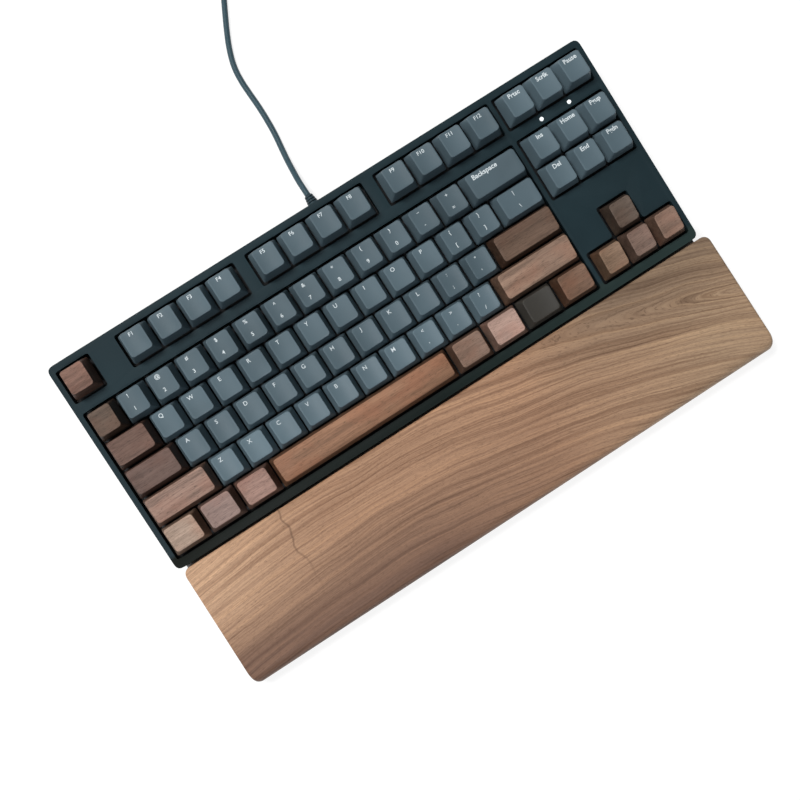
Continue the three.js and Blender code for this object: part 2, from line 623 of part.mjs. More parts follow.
function makeCableCoil() {
  const outer = COIL_OUTER + CABLE_RADIUS + 0.1;
  const inner = COIL_OUTER - COIL_TURNS * COIL_PITCH - CABLE_RADIUS - 0.1;
  const top = COIL_LAYERS * COIL_PITCH + 0.2;
  const profile = [[inner, 0], [outer, 0], [outer, top], [inner, top], [inner, 0]]
    .map(([radius, z]) => new THREE.Vector2(radius, z));
  const geometry = new THREE.LatheGeometry(profile, 32);
  geometry.rotateX(Math.PI / 2);
  geometry.translate(COIL_CENTRE.x, COIL_CENTRE.y, 0);
  return toSolid(geometry);
}

const TUBE_SIDES = 8;

// Round cable along a smooth curve through the points.
function makeTube(points, steps) {
  const curve = new THREE.CatmullRomCurve3(points.map((point) => new THREE.Vector3(...point)));
  const section = new THREE.Shape();
  section.absarc(0, 0, CABLE_RADIUS, 0, 2 * Math.PI);
  const geometry = new THREE.ExtrudeGeometry(section, {
    steps, curveSegments: TUBE_SIDES / 2, extrudePath: curve,
  });
  return toSolid(geometry);
}

// The tail leaves the coil on its top layer and comes down to the plug beside it.
const PLUG_HEADING = THREE.MathUtils.degToRad(-28.1);
const PLUG_START = 44;                // tangent point of the coil to the strain relief
const PLUG_AXIS_Z = 4;
const tailStart = new THREE.Vector3(
  COIL_CENTRE.x - COIL_OUTER * Math.sin(PLUG_HEADING),
  COIL_CENTRE.y + COIL_OUTER * Math.cos(PLUG_HEADING), 0);

function alongTail(distance, z) {
  return [tailStart.x + distance * Math.cos(PLUG_HEADING),
    tailStart.y + distance * Math.sin(PLUG_HEADING), z];
}

const tailRoute = [
  alongTail(15.8, 10.2),
  alongTail(22, 8.2),
  alongTail(29, 6),
  alongTail(36, 4.5),
  alongTail(PLUG_START - GAP, PLUG_AXIS_Z),
];

// Plug pieces are made along +X from the strain relief's end and then laid in place.
const GRIP_LENGTH = 27;
const RELIEF_LENGTH = 12;
const SHELL_LENGTH = 18;
const plugMatrix = new THREE.Matrix4().makeRotationZ(PLUG_HEADING)
  .setPosition(...alongTail(PLUG_START, PLUG_AXIS_Z));

function makePlugGrip() {
  const relief = frustum([4.4, 4.4, 0], [6.6, 6.6, 0], 0, RELIEF_LENGTH, 0, 0);
  const body = planPrism(roundedShape(rectanglePoints(-7.6, -3.9, 7.6, 3.9), 1.4),
    RELIEF_LENGTH - 0.5, RELIEF_LENGTH + GRIP_LENGTH, 3);
  const geometry = toGeometry(relief.add(body));
  geometry.applyMatrix4(new THREE.Matrix4().makeBasis(
    new THREE.Vector3(0, 1, 0), new THREE.Vector3(0, 0, 1), new THREE.Vector3(1, 0, 0)));
  geometry.applyMatrix4(plugMatrix);
  return toSolid(geometry);
}

function makePlugShell() {
  const start = RELIEF_LENGTH + GRIP_LENGTH + GAP;
  const shell = new THREE.BoxGeometry(SHELL_LENGTH, 12, 4.5);
  shell.translate(start + SHELL_LENGTH / 2, 0, 0);
  shell.applyMatrix4(plugMatrix);
  const mouth = new THREE.BoxGeometry(SHELL_LENGTH - 4, 11.2, 2);
  mouth.translate(start + SHELL_LENGTH / 2 + 3, 0, 0.8);
  mouth.applyMatrix4(plugMatrix);
  return toSolid(shell).subtract(toSolid(mouth));
}

// ---- Assembly ---------------------------------------------------------------------------

const group = new THREE.Group();
const deck = new THREE.Group();
deck.rotation.x = DECK_TILT;
deck.position.set(DECK_X, DECK_Y, DECK_FRONT_Z);
group.add(deck);

toMesh('top_case', makeTopCase(), casePlastic, group);
toMesh('bottom_case', makeBottomCase(), casePlastic, group);
toMesh('foot_left', makeFoot(-1), casePlastic, group);
toMesh('foot_right', makeFoot(1), casePlastic, group);

const PAD_X = 138;                    // from the case centre
const PAD_WIDTH = 36;
const PAD_DEPTH = 8;
const padRows = { front: CASE_FRONT_Y + 9, rear: CASE_BACK_Y - 6.5 };
for (const [rowName, y] of Object.entries(padRows)) {
  for (const [sideName, side] of [['left', -1], ['right', 1]]) {
    const pad = makePad(PAD_WIDTH, PAD_DEPTH, CASE_X + side * PAD_X, y);
    toMesh(`pad_${rowName}_${sideName}`, pad, rubber, group);
  }
}

toMesh('switch_plate', makeSwitchPlate(), steel, deck);
toMesh('switch_bank', makeSwitchBank(), switchPlastic, deck);
toMesh('circuit_board', makeCircuitBoard(), boardGreen, deck);
INDICATOR_UNITS.forEach((units, index) => {
  const lens = post(INDICATOR_RADIUS, 0.8, FRAME_HEIGHT, units * KEY_PITCH, INDICATOR_Y);
  toMesh(index === 0 ? 'indicator_left' : 'indicator_right', lens, indicatorLens, deck);
});

keyPieces.forEach((piece) => toMesh(piece.name, makeKeyPiece(piece), piece.finish, deck));
stabilisedPieces.forEach((piece) => toMesh(
  piece.name.replace('key_', 'stabiliser_'), makeStabiliserWire(piece), steel, deck));

toMesh('wrist_rest', makeWristRest(), paleWalnut, group);
toMesh('wrist_rest_pad', makePad(REST_LENGTH - 40, REST_DEPTH - 32, REST_X, REST_BACK_Y - REST_DEPTH / 2),
  rubber, group);

toMesh('cable_boot', makeCableBoot(), rubber, group);
toMesh('usb_cable', makeTube(cableRoute, 44), cableSleeve, group);
toMesh('usb_cable_coil', makeCableCoil(), cableSleeve, group);
toMesh('usb_cable_tail', makeTube(tailRoute, 6), cableSleeve, group);
toMesh('usb_plug_grip', makePlugGrip(), plugPlastic, group);
toMesh('usb_plug_shell', makePlugShell(), steel, group);

export default group;
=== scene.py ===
"""Looks of a tenkeyless mechanical keyboard with walnut keys and a walnut wrist rest.

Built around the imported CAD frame, in metres, +X the user's right, +Y the back, +Z up.
"""

import json
import math

import bmesh
import bpy
from mathutils import Matrix, Vector


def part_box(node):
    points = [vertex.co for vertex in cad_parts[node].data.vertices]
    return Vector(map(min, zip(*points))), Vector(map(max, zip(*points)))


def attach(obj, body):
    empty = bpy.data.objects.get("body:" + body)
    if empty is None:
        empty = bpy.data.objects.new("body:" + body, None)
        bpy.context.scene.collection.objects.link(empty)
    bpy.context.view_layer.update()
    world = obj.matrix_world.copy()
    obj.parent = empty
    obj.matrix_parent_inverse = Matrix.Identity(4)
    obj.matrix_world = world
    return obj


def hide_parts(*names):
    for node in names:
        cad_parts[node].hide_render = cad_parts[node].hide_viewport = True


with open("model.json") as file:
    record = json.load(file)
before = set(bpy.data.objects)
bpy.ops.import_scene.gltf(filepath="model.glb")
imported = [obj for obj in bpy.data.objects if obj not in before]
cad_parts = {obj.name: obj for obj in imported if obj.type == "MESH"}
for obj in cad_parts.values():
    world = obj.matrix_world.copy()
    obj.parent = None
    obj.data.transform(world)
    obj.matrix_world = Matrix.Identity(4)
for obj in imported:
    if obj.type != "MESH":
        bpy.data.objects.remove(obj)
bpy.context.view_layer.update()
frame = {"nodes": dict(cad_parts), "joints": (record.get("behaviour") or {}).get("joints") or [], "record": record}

MM = 0.001

# ---- Places worked out from the frame ----

KEY_PITCH = 19.05 * MM
FUNCTION_ROW = 5 + 8.5 / 19.05  # front edge of the function row, in key pitches
BLOCK_UNITS = 18.25
FRAME_HEIGHT = 7 * MM  # top face of the case above the switch plate
FRONT_BORDER = 6.3 * MM
DECK_FRONT_Z = 13 * MM

press_joint = next(joint for joint in frame["joints"] if joint["name"] == "key_space_press")
TILT = math.asin(press_joint["axis"][1])
case_low, case_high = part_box("top_case")
rest_low, rest_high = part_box("wrist_rest")
CASE_X = (case_low.x + case_high.x) / 2
DECK = (
    Matrix.Translation((
        CASE_X - BLOCK_UNITS * KEY_PITCH / 2,
        case_low.y + FRONT_BORDER * math.cos(TILT) + FRAME_HEIGHT * math.sin(TILT),
        DECK_FRONT_Z,
    ))
    @ Matrix.Rotation(TILT, 4, "X")
)

# ---- Small helpers ----


def lerp(a, b, t):
    return a + (b - a) * t


def link(name, data, *materials):
    """A new object in the scene, with these materials in order."""
    made = bpy.data.objects.new(name, data)
    bpy.context.scene.collection.objects.link(made)
    for material in materials:
        data.materials.append(material)
    return made


def mesh_from(name, bm, angle=35):
    """The finished mesh, shaded smooth except across edges sharper than the angle in degrees."""
    mesh = bpy.data.meshes.new(name)
    bmesh.ops.recalc_face_normals(bm, faces=bm.faces)
    bm.to_mesh(mesh)
    bm.free()
    mesh.shade_smooth()
    mesh.set_sharp_from_angle(angle=math.radians(angle))
    return mesh


def loft(bm, rings, closed=True):
    """Quads between rings of points with equal counts; closed ends get a fan of triangles."""
    made = [[bm.verts.new(point) for point in ring] for ring in rings]
    for lower, upper in zip(made, made[1:]):
        count = len(lower)
        for i in range(count):
            j = (i + 1) % count
            bm.faces.new((lower[i], lower[j], upper[j], upper[i]))
    for ring in (made[0], made[-1]) if closed else ():
        centre = bm.verts.new(sum((vert.co for vert in ring), Vector()) / len(ring))
        for i, vert in enumerate(ring):
            bm.faces.new((vert, ring[(i + 1) % len(ring)], centre))


def arc(centre, radius, start, end, steps):
    """Points on an arc in a plane; its angles are in degrees from the plane's first axis."""
    angles = [math.radians(lerp(start, end, k / steps)) for k in range(steps + 1)]
    return [Vector((centre[0] + radius * math.cos(a), centre[1] + radius * math.sin(a)))
            for a in angles]


def between(start, end, steps):
    """Evenly spaced points from start to end, without these two."""
    return [start.lerp(end, k / steps) for k in range(1, steps)]


def rounded_rectangle(half_x, half_y, radius, corner=4, side_x=6, side_y=4):
    """Outline points, anticlockwise, with this many steps round each corner and along each side."""
    x, y = half_x - radius, half_y - radius
    arcs = [arc(centre, radius, start, start + 90, corner)
            for centre, start in (((x, -y), -90), ((x, y), 0), ((-x, y), 90), ((-x, -y), 180))]
    points = []
    for this, following, steps in zip(arcs, arcs[1:] + arcs[:1], (side_y, side_x) * 2):
        points += this + between(this[-1], following[0], steps)
    return points


# ---- Shader helpers ----


class Shader:
    """A material's node tree with short calls for the nodes used here."""

    def __init__(self, name, roughness=0.5, **constants):
        self.material = bpy.data.materials.new(name)
        self.material.use_nodes = True
        self.nodes = self.material.node_tree.nodes
        self.links = self.material.node_tree.links
        self.surface = self.nodes["Principled BSDF"]
        self.fill(self.surface, Roughness=roughness, **constants)
        self.position = self.node("TexCoord", "Object")

    def feed(self, socket, value):
        """Links a node's output to the socket, or sets a number, vector or colour on it."""
        if isinstance(value, bpy.types.NodeSocket):
            self.links.new(value, socket)
        else:
            socket.default_value = (*value, 1) if socket.type == "RGBA" else value

    def fill(self, node, **inputs):
        """Feeds a node's inputs, given by their names with _ for a space."""
        for name, value in inputs.items():
            self.feed(node.inputs[name.replace("_", " ")], value)

    def node(self, kind, output, **inputs):
        """The named output of a new node with these inputs."""
        node = self.nodes.new("ShaderNode" + kind)
        self.fill(node, **inputs)
        return node.outputs[output]

    def stretch(self, scale, offset=(0, 0, 0)):
        """Position in the shared frame, times a scale for each axis, plus an offset."""
        return self.node("Mapping", "Vector", Vector=self.position, Scale=scale, Location=offset)

    def noise(self, vector, detail=2.0, roughness=0.5):
        return self.node("TexNoise", "Fac", Vector=vector, Scale=1.0, Detail=detail,
                         Roughness=roughness)

    def math(self, operation, a, b=0.0, clamp=False):
        node = self.nodes.new("ShaderNodeMath")
        node.operation = operation
        node.use_clamp = clamp
        self.feed(node.inputs[0], a)
        self.feed(node.inputs[1], b)
        return node.outputs[0]

    def sum(self, a, b):
        return self.math("ADD", a, b)

    def difference(self, a, b):
        return self.math("SUBTRACT", a, b)

    def product(self, a, b):
        return self.math("MULTIPLY", a, b)

    def range(self, value, low, high, new_low=0.0, new_high=1.0):
        """The value's place between low and high, held within the new limits."""
        return self.node("MapRange", "Result", Value=value, From_Min=low, From_Max=high,
                         To_Min=new_low, To_Max=new_high)

    def ramp(self, value, stops):
        node = self.nodes.new("ShaderNodeValToRGB")
        self.links.new(value, node.inputs["Fac"])
        elements = node.color_ramp.elements
        while len(elements) < len(stops):
            elements.new(1.0)
        for element, (place, colour) in zip(elements, stops):
            element.position = place
            element.color = (*colour, 1)
        return node.outputs["Color"]

    def mix(self, factor, a, b, blend="MIX"):
        node = self.nodes.new("ShaderNodeMix")
        node.data_type = "RGBA"
        node.blend_type = blend
        self.feed(node.inputs["Factor"], factor)
        self.feed(node.inputs[6], a)
        self.feed(node.inputs[7], b)
        return node.outputs[2]

    def multiply(self, a, b):
        """The first colour times the second."""
        return self.mix(1.0, a, b, "MULTIPLY")

    def split(self, vector):
        node = self.nodes.new("ShaderNodeSeparateXYZ")
        self.links.new(vector, node.inputs["Vector"])
        return node.outputs

    def normal(self):
        """X, Y and Z of the direction that the surface faces."""
        return self.split(self.node("NewGeometry", "Normal"))

    def colour(self, value):
        self.fill(self.surface, Base_Color=value)

    def rough(self, value):
        self.fill(self.surface, Roughness=value)

    def bump(self, height, distance, strength):
        self.fill(self.surface, Normal=self.node("Bump", "Normal", Strength=strength,
                                                 Distance=distance, Height=height))


def times(colour, factor):
    return [channel * factor for channel in colour]


BLOTCH_MM = 38


def moulded_plastic(name, colour, roughness, grain_mm, depth_mm, variation=0.12, gloss=0.4,
                    tint=None):
    """Plastic from a textured mould: fine pebbling, and slight blotches in colour and gloss."""
    shader = Shader(name, Specular_IOR_Level=gloss)
    pebble = shader.noise(shader.stretch([1 / (grain_mm * MM)] * 3))
    blotch = shader.noise(shader.stretch([1 / (BLOTCH_MM * MM)] * 3), detail=3)
    plastic = shader.mix(shader.range(blotch, 0.3, 0.7), times(colour, 1 - variation),
                         times(colour, 1 + variation))
    shader.colour(tint(shader, plastic) if tint else plastic)
    shader.rough(shader.range(blotch, 0.3, 0.7, roughness - 0.05, roughness + 0.05))
    shader.bump(pebble, depth_mm * MM, 0.6)
    return shader.material


WOOD_GLOSS = 0.35
# Painted shade: what the wood's colour is multiplied by on the sides, and again on the end grain.
PAINTED_SIDE_SHADE = (0.46, 0.44, 0.42)
PAINTED_END_GRAIN_SHADE = (0.82, 0.80, 0.78)


def walnut(name, tone, contrast, seed):
    """Straight-grained walnut for a small block: growth bands, fibres and pores along X.

    The sides carry a painted shade, darker than the top, and the end grain a further painted shade, the darkest.
    """
    shader = Shader(name, Specular_IOR_Level=WOOD_GLOSS)
    light, dark = times(tone, 1 + contrast), times(tone, 1 - contrast)
    offset = (seed * 3.7, seed * 1.3, seed * 2.1)
    # Features per metre along X, across it, and up.
    bands = shader.noise(shader.stretch((16, 260, 260), offset), detail=3)
    fibre = shader.noise(shader.stretch((70, 1700, 1700), offset), detail=4)
    pores = shader.noise(shader.stretch((330, 3300, 3300), offset), detail=1)
    tint = shader.noise(shader.stretch((50, 90, 90), offset))
    shade = shader.math("ADD", shader.range(bands, 0.32, 0.68, 0, 0.8),
                        shader.range(fibre, 0.3, 0.7, -0.2, 0.4), clamp=True)
    wood = shader.ramp(shade, [(0.0, light), (0.5, tone), (1.0, dark)])
    red = [tone[0] * 1.15, tone[1] * 0.92, tone[2] * 0.85]
    wood = shader.mix(shader.range(tint, 0.48, 0.68, 0, 0.5), wood, red)
    pore_mask = shader.range(pores, 0.60, 0.72)
    wood = shader.mix(shader.product(pore_mask, 0.6), wood, times(dark, 0.3))
    # Painted shade on the sides by the way they face, deepest on the end grain.
    facing = shader.normal()
    side = shader.range(facing["Z"], 0.94, 0.60)
    end_grain = shader.range(shader.math("ABSOLUTE", facing["X"]), 0.35, 0.80)
    wood = shader.mix(side, wood, PAINTED_SIDE_SHADE, "MULTIPLY")
    wood = shader.mix(end_grain, wood, PAINTED_END_GRAIN_SHADE, "MULTIPLY")
    shader.colour(wood)
    wood_surface(shader, fibre, pore_mask, 0.05, 0.5)
    return shader.material


def wood_surface(shader, fibre, pore_mask, depth_mm, strength):
    """Oiled wood's sheen, duller along some fibres, with its pores as fine dents."""
    shader.rough(shader.range(fibre, 0.2, 0.8, 0.46, 0.62))
    shader.bump(shader.difference(fibre, pore_mask), depth_mm * MM, strength)


# ---- Camera ----

# The camera stands almost above the keyboard, 0.59 m up, and is turned about its own axis, so
# that the case's long side rises to the right of the picture.
CAMERA_PLACE = Vector((-55.6, -37.0, 590.8)) * MM
CAMERA_TARGET = Vector((-22.1, -13.3, 0)) * MM
CAMERA_UP_FROM_Y = math.radians(32.8)
LENS_MM = 45
SENSOR_MM = 36


def make_camera():
    data = bpy.data.cameras.new("camera")
    data.lens = LENS_MM
    data.sensor_width = SENSOR_MM
    data.clip_start = 10 * MM
    camera = link("camera", data)
    backward = (CAMERA_PLACE - CAMERA_TARGET).normalized()
    up_hint = Vector((math.sin(CAMERA_UP_FROM_Y), math.cos(CAMERA_UP_FROM_Y), 0))
    right = up_hint.cross(backward).normalized()
    up = backward.cross(right)
    camera.matrix_world = Matrix.Translation(CAMERA_PLACE) @ Matrix(
        (right, up, backward)).transposed().to_4x4()
    bpy.context.scene.camera = camera


make_camera()

# ---- Cable ----

CABLE_RADIUS = 1.8 * MM
DESK_GAP = 0.1 * MM  # between the desk and what lies on it
boot_low, boot_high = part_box("cable_boot")
CABLE_EXIT = Vector((CASE_X, boot_high.y + 0.3 * MM, (boot_low.z + boot_high.z) / 2))

# Centre line from the strain relief to the coil, in millimetres: each point is given to the
# right of the strain relief's axis, behind the case's back wall and above the desk.
CABLE_ROUTE = (
    (0, 15.8, 8.2), (0.1, 21.8, 7.1), (0.7, 28.8, 5.3), (1.5, 36.8, 3.5),
    (2.7, 45.8, 2.3), (3.9, 54.8, 1.95), (4.5, 63.8, 1.9), (4.7, 73.8, 1.9),
    (4.4, 83.8, 1.9), (4.3, 92.8, 1.9), (5.2, 101.8, 1.9), (8.1, 111.8, 1.9),
    (12.4, 121.8, 1.9), (17.4, 131.8, 1.9), (22.6, 141.8, 1.9), (27.8, 151.8, 1.9),
    (33.0, 161.5, 1.9),
)
coil_low, coil_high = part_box("usb_cable_coil")
COIL_CENTRE = (coil_low + coil_high) / 2
COIL_PITCH = 3.7 * MM  # between neighbouring turns and between layers
COIL_OUTER = 25.8 * MM  # centre line of the outermost turn
COIL_TURNS = 2.8  # in each layer
COIL_LAYERS = 4
COIL_CLIMB = 0.35  # turns taken to climb to the next layer
COIL_START = math.radians(151.9)  # where the cable meets the coil, as seen from above
STEPS_PER_TURN = 20
PLUG_HEADING = math.radians(-28.1)
PLUG_START_MM = 44  # from the coil to the plug's grip
PLUG_AXIS_MM = 4
# Centre line from the coil to the plug: distance along it and height, in millimetres.
TAIL_STEPS = ((0, 13), (8, 12.3), (15.8, 10.3), (22, 8.2), (29, 6), (36, 4.5), (43.7, 4))


def coil_points():
    """Turns laid clockwise, layer on layer, alternately inwards and outwards."""
    points = []
    inner = COIL_OUTER - COIL_TURNS * COIL_PITCH
    turn = 0.0

    def lay(turns, radius_from, radius_to, z_from, z_to):
        """Adds this many turns, spiralling evenly from one radius and height to the other."""
        nonlocal turn
        steps = max(2, round(turns * STEPS_PER_TURN))
        for k in range(steps):
            t = k / steps
            angle = COIL_START - 2 * math.pi * (turn + turns * t)
            radius = lerp(radius_from, radius_to, t)
            points.append(Vector((
                COIL_CENTRE.x + radius * math.cos(angle),
                COIL_CENTRE.y + radius * math.sin(angle),
                lerp(z_from, z_to, t),
            )))
        turn += turns

    for layer in range(COIL_LAYERS):
        z = DESK_GAP + CABLE_RADIUS + layer * COIL_PITCH
        ends = (COIL_OUTER, inner) if layer % 2 == 0 else (inner, COIL_OUTER)
        lay(COIL_TURNS, *ends, z, z)
        if layer + 1 < COIL_LAYERS:
            lay(COIL_CLIMB, ends[1], ends[1], z, z + COIL_PITCH)
    return points


def along_tail(distance_mm, height_mm):
    """A point on the line that leaves the coil as a tangent towards the plug."""
    ahead = Vector((math.cos(PLUG_HEADING), math.sin(PLUG_HEADING), 0))
    start = COIL_CENTRE + COIL_OUTER * Vector((-ahead.y, ahead.x, 0))
    point = start + distance_mm * MM * ahead
    point.z = height_mm * MM
    return point


def make_cable(material):
    """One round cable through the whole route, the coil and the tail."""
    tail = [along_tail(*step) for step in TAIL_STEPS]
    wall_foot = Vector((CASE_X, case_high.y, 0))
    route = [wall_foot + Vector(point) * MM for point in CABLE_ROUTE]
    points = [CABLE_EXIT, *route, *coil_points(), *tail]
    data = bpy.data.curves.new("usb_cable_whole", "CURVE")
    data.dimensions = "3D"
    data.bevel_depth = CABLE_RADIUS
    data.bevel_resolution = 3
    data.resolution_u = 4
    data.use_fill_caps = True
    spline = data.splines.new("BEZIER")
    spline.bezier_points.add(len(points) - 1)
    for knot, point in zip(spline.bezier_points, points):
        knot.co = point
        knot.handle_left_type = "AUTO"
        knot.handle_right_type = "AUTO"
    return link("usb_cable_whole", data, material)


def cable_material():
    """Smooth extruded sleeve with faint ripples along it."""
    shader = Shader("cable_sleeve", roughness=0.42)
    mottle = shader.noise(shader.stretch([320] * 3), detail=3)
    fine = shader.noise(shader.stretch([2600] * 3))
    shader.colour(shader.mix(mottle, (0.030, 0.062, 0.080), (0.052, 0.098, 0.122)))
    shader.rough(shader.range(mottle, 0.3, 0.7, 0.36, 0.5))
    shader.bump(fine, 0.05 * MM, 0.4)
    return shader.material


cable = make_cable(cable_material())
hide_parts("usb_cable", "usb_cable_coil", "usb_cable_tail")
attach(cable, "case")

# ---- Keys ----

RIM_HEIGHT = 6.5 * MM
CAP_GAP = 0.95 * MM
CAP_WALL = 1.3 * MM
CAP_ROOF = 1.6 * MM
CAP_TOP_NARROWING = 5.6 * MM
CAP_TOP_DEPTH = 13.9 * MM
CAP_TOP_SKEW = 0.5 * MM
CAP_DISH = 0.9 * MM
CAP_EDGE = 0.6 * MM  # rounding between a cap's sides and its top
RIM_EASE = 0.15 * MM  # bevel of the rim's outer edge
BASE_CORNER = 1.0 * MM
TOP_CORNER = 1.9 * MM

SIDE_RINGS = 6
EDGE_RINGS = 4
TOP_RING_SHARES = (0.85, 0.65, 0.42, 0.2)

# Row: centre line in key pitches, height of the cap's top edge above its rim, tilt in degrees.
ROWS = {
    "bottom": (0.5, 9.3, 9),
    "lower": (1.5, 9.3, 8),
    "home": (2.5, 9.1, 5),
    "upper": (3.5, 9.6, 0),
    "number": (4.5, 11.2, -4),
    "function": (FUNCTION_ROW + 0.5, 11.2, -4),
}


def single(name, row, centre, width=1):
    """A key without a legend, in a CAD node of its own."""
    return (f"key_{name}", row, centre, [(width, name)])


def letters(text):
    """Keys marked with these letters."""
    return [(1, letter.lower(), letter) for letter in text]


# CAD node, row, first key's centre in pitches, then (width, name, legends) for each key.
KEYS = [
    single("escape", "function", 0.5),
    *((f"keys_f{i}_f{i + 3}", "function", centre,
       [(1, f"f{k}", f"F{k}") for k in range(i, i + 4)])
      for i, centre in ((1, 2.5), (5, 7), (9, 11.5))),
    ("keys_print_pause", "function", 15.75,
     [(1, "print", "Prtsc"), (1, "scroll", "Scrlk"), (1, "pause", "Pause")]),
    single("grave", "number", 0.5),
    ("keys_1_6", "number", 1.5, [(1, d, s, d) for s, d in zip("!@#$%^", "123456")]),
    ("keys_7_equals", "number", 7.5,
     [(1, n, s, d)
      for n, s, d in zip(("7", "8", "9", "0", "minus", "equals"), "&*()_+", "7890-=")]),
    ("key_backspace", "number", 14, [(2, "backspace", "Backspace")]),
    ("keys_insert_pageup", "number", 15.75,
     [(1, "insert", "Ins"), (1, "home", "Home"), (1, "pageup", "Pgup")]),
    single("tab", "upper", 0.75, 1.5),
    ("keys_q_y", "upper", 2, letters("QWERTY")),
    ("keys_u_backslash", "upper", 8,
     letters("UIOP")
     + [(1, "bracket_left", "{", "["), (1, "bracket_right", "}", "]"),
        (1.5, "backslash", "|", "\\")]),
    ("keys_delete_pagedown", "upper", 15.75,
     [(1, "delete", "Del"), (1, "end", "End"), (1, "pagedown", "Pgdn")]),
    single("caps_lock", "home", 0.875, 1.75),
    ("keys_a_h", "home", 2.25, letters("ASDFGH")),
    ("keys_j_quote", "home", 8.25,
     letters("JKL") + [(1, "semicolon", ":", ";"), (1, "quote", '"', "'")]),
    single("enter", "home", 13.875, 2.25),
    single("left_shift", "lower", 1.125, 2.25),
    ("keys_z_b", "lower", 2.75, letters("ZXCVB")),
    ("keys_n_slash", "lower", 7.75,
     [(1, "n", "N"), (1, "m", "M"), (1, "comma", "<", ","), (1, "period", ">", "."),
      (1, "slash", "?", "/")]),
    single("right_shift", "lower", 13.625, 2.75),
    single("up", "lower", 16.75),
    *(single(name, "bottom", centre, width) for name, centre, width in (
        ("left_ctrl", 0.625, 1.25), ("left_os", 1.875, 1.25), ("left_alt", 3.125, 1.25),
        ("space", 6.875, 6.25), ("right_alt", 10.625, 1.25), ("fn", 11.875, 1.25),
        ("menu", 13.125, 1.25), ("right_ctrl", 14.375, 1.25),
        ("left", 15.75, 1), ("down", 16.75, 1), ("right", 17.75, 1))),
]


def level(height):
    """A height that is the same at every place."""
    return lambda x, y: height


class CapShape:
    """Outline and top surface of one keycap, about the centre of its base, in the deck frame."""

    def __init__(self, width, row):
        _, height, tilt = ROWS[row]
        self.half_base = Vector(((width * KEY_PITCH - CAP_GAP) / 2, (KEY_PITCH - CAP_GAP) / 2))
        self.half_top = Vector((self.half_base.x - CAP_TOP_NARROWING / 2, CAP_TOP_DEPTH / 2))
        self.half_top += Vector((CAP_EDGE, CAP_EDGE))
        self.top = RIM_HEIGHT + height * MM
        self.slope = math.tan(math.radians(tilt))
        self.crowned = width > 6
        self.side_steps = 6 + round(4 * (min(width, 3) - 1))

    def surface(self, x, y):
        """Height of the top: dished across X, or on the space bar crowned across Y."""
        y_local = y - CAP_TOP_SKEW
        z = self.top + y_local * self.slope
        if self.crowned:
            return z - CAP_DISH * (y_local / self.half_top.y) ** 2
        reach = min(1.0, abs(x) / self.half_top.x)
        return z - CAP_DISH * (1 - reach ** 2)

    def below_top(self, drop):
        """Heights on a surface this far below the top."""
        return lambda x, y: self.surface(x, y) - drop

    def up_side(self, share):
        """Heights this share of the way from the rim to the rounded upper edge."""
        return lambda x, y: lerp(RIM_HEIGHT + RIM_EASE, self.surface(x, y) - CAP_EDGE, share)

    def ring(self, half, corner, skew, height):
        """Outline at a height given as a function of the point's place."""
        outline = rounded_rectangle(half.x, half.y, corner, side_x=self.side_steps)
        return [Vector((p.x, p.y + skew, height(p.x, p.y + skew))) for p in outline]

    def build(self, bm):
        """Rings from the roof's underside down the inside, up the sides and over the top."""
        wall = Vector((CAP_WALL, CAP_WALL))
        ease = Vector((RIM_EASE, RIM_EASE))
        rings = [
            self.ring(self.half_top - wall, TOP_CORNER * 0.6, CAP_TOP_SKEW,
                      self.below_top(CAP_ROOF)),
            self.ring(self.half_base - wall, BASE_CORNER * 0.5, 0, level(RIM_HEIGHT + 0.1 * MM)),
            self.ring(self.half_base - ease, BASE_CORNER, 0, level(RIM_HEIGHT)),
        ]
        for k in range(SIDE_RINGS + 1):
            t = k / SIDE_RINGS
            rings.append(self.ring(self.half_base.lerp(self.half_top, t),
                                   lerp(BASE_CORNER, TOP_CORNER, t), CAP_TOP_SKEW * t,
                                   self.up_side(t)))
        for k in range(1, EDGE_RINGS + 1):
            angle = math.radians(90 * k / EDGE_RINGS)
            inset = CAP_EDGE * (1 - math.cos(angle))
            rings.append(self.ring(self.half_top - Vector((inset, inset)),
                                   TOP_CORNER - inset * 0.6, CAP_TOP_SKEW,
                                   self.below_top(CAP_EDGE * (1 - math.sin(angle)))))
        flat = self.half_top - Vector((CAP_EDGE, CAP_EDGE))
        for share in TOP_RING_SHARES:
            rings.append(self.ring(flat * share, (TOP_CORNER - CAP_EDGE * 0.6) * share,
                                   CAP_TOP_SKEW, self.surface))
        loft(bm, rings)


# Legends, in millimetres: font size, extra stroke width, and the centre of each line to the
# right of and behind the top's middle.
LEGEND_STYLES = {
    "letter": (3.4, 0.02, [(-1.8, 4.5)]),
    "function": (3.2, 0.03, [(-0.7, 4.9)]),
    "pair": (3.2, 0.03, [(-1.3, 4.6), (-1.3, -3.4)]),
    "word": (3.7, 0.08, [(0, 4.9)]),
    "long word": (4.0, 0.08, [(-4.2, 4.2)]),
}


def legend_style(width, legends):
    if len(legends) == 2:
        return "pair"
    if len(legends[0]) == 1:
        return "letter"
    if legends[0][1:].isdigit():
        return "function"
    return "word" if width == 1 else "long word"


def text_outline(body, size, boldness):
    """Flat filled mesh of a legend, centred on the origin."""
    data = bpy.data.curves.new("legend", "FONT")
    data.body = body
    data.size = size
    data.offset = boldness
    data.resolution_u = 3
    data.extrude = 0.02 * MM  # tells the legend's front from its back
    holder = link("legend", data)
    bpy.context.view_layer.update()
    mesh = bpy.data.meshes.new_from_object(holder.evaluated_get(
        bpy.context.evaluated_depsgraph_get()))
    bpy.data.objects.remove(holder)
    bpy.data.curves.remove(data)
    xs = [vert.co.x for vert in mesh.vertices]
    ys = [vert.co.y for vert in mesh.vertices]
    mesh.transform(Matrix.Translation((-(min(xs) + max(xs)) / 2, -(min(ys) + max(ys)) / 2, 0)))
    return mesh


FILM_TOP = 0.025 * MM
FILM_FOOT = -0.02 * MM


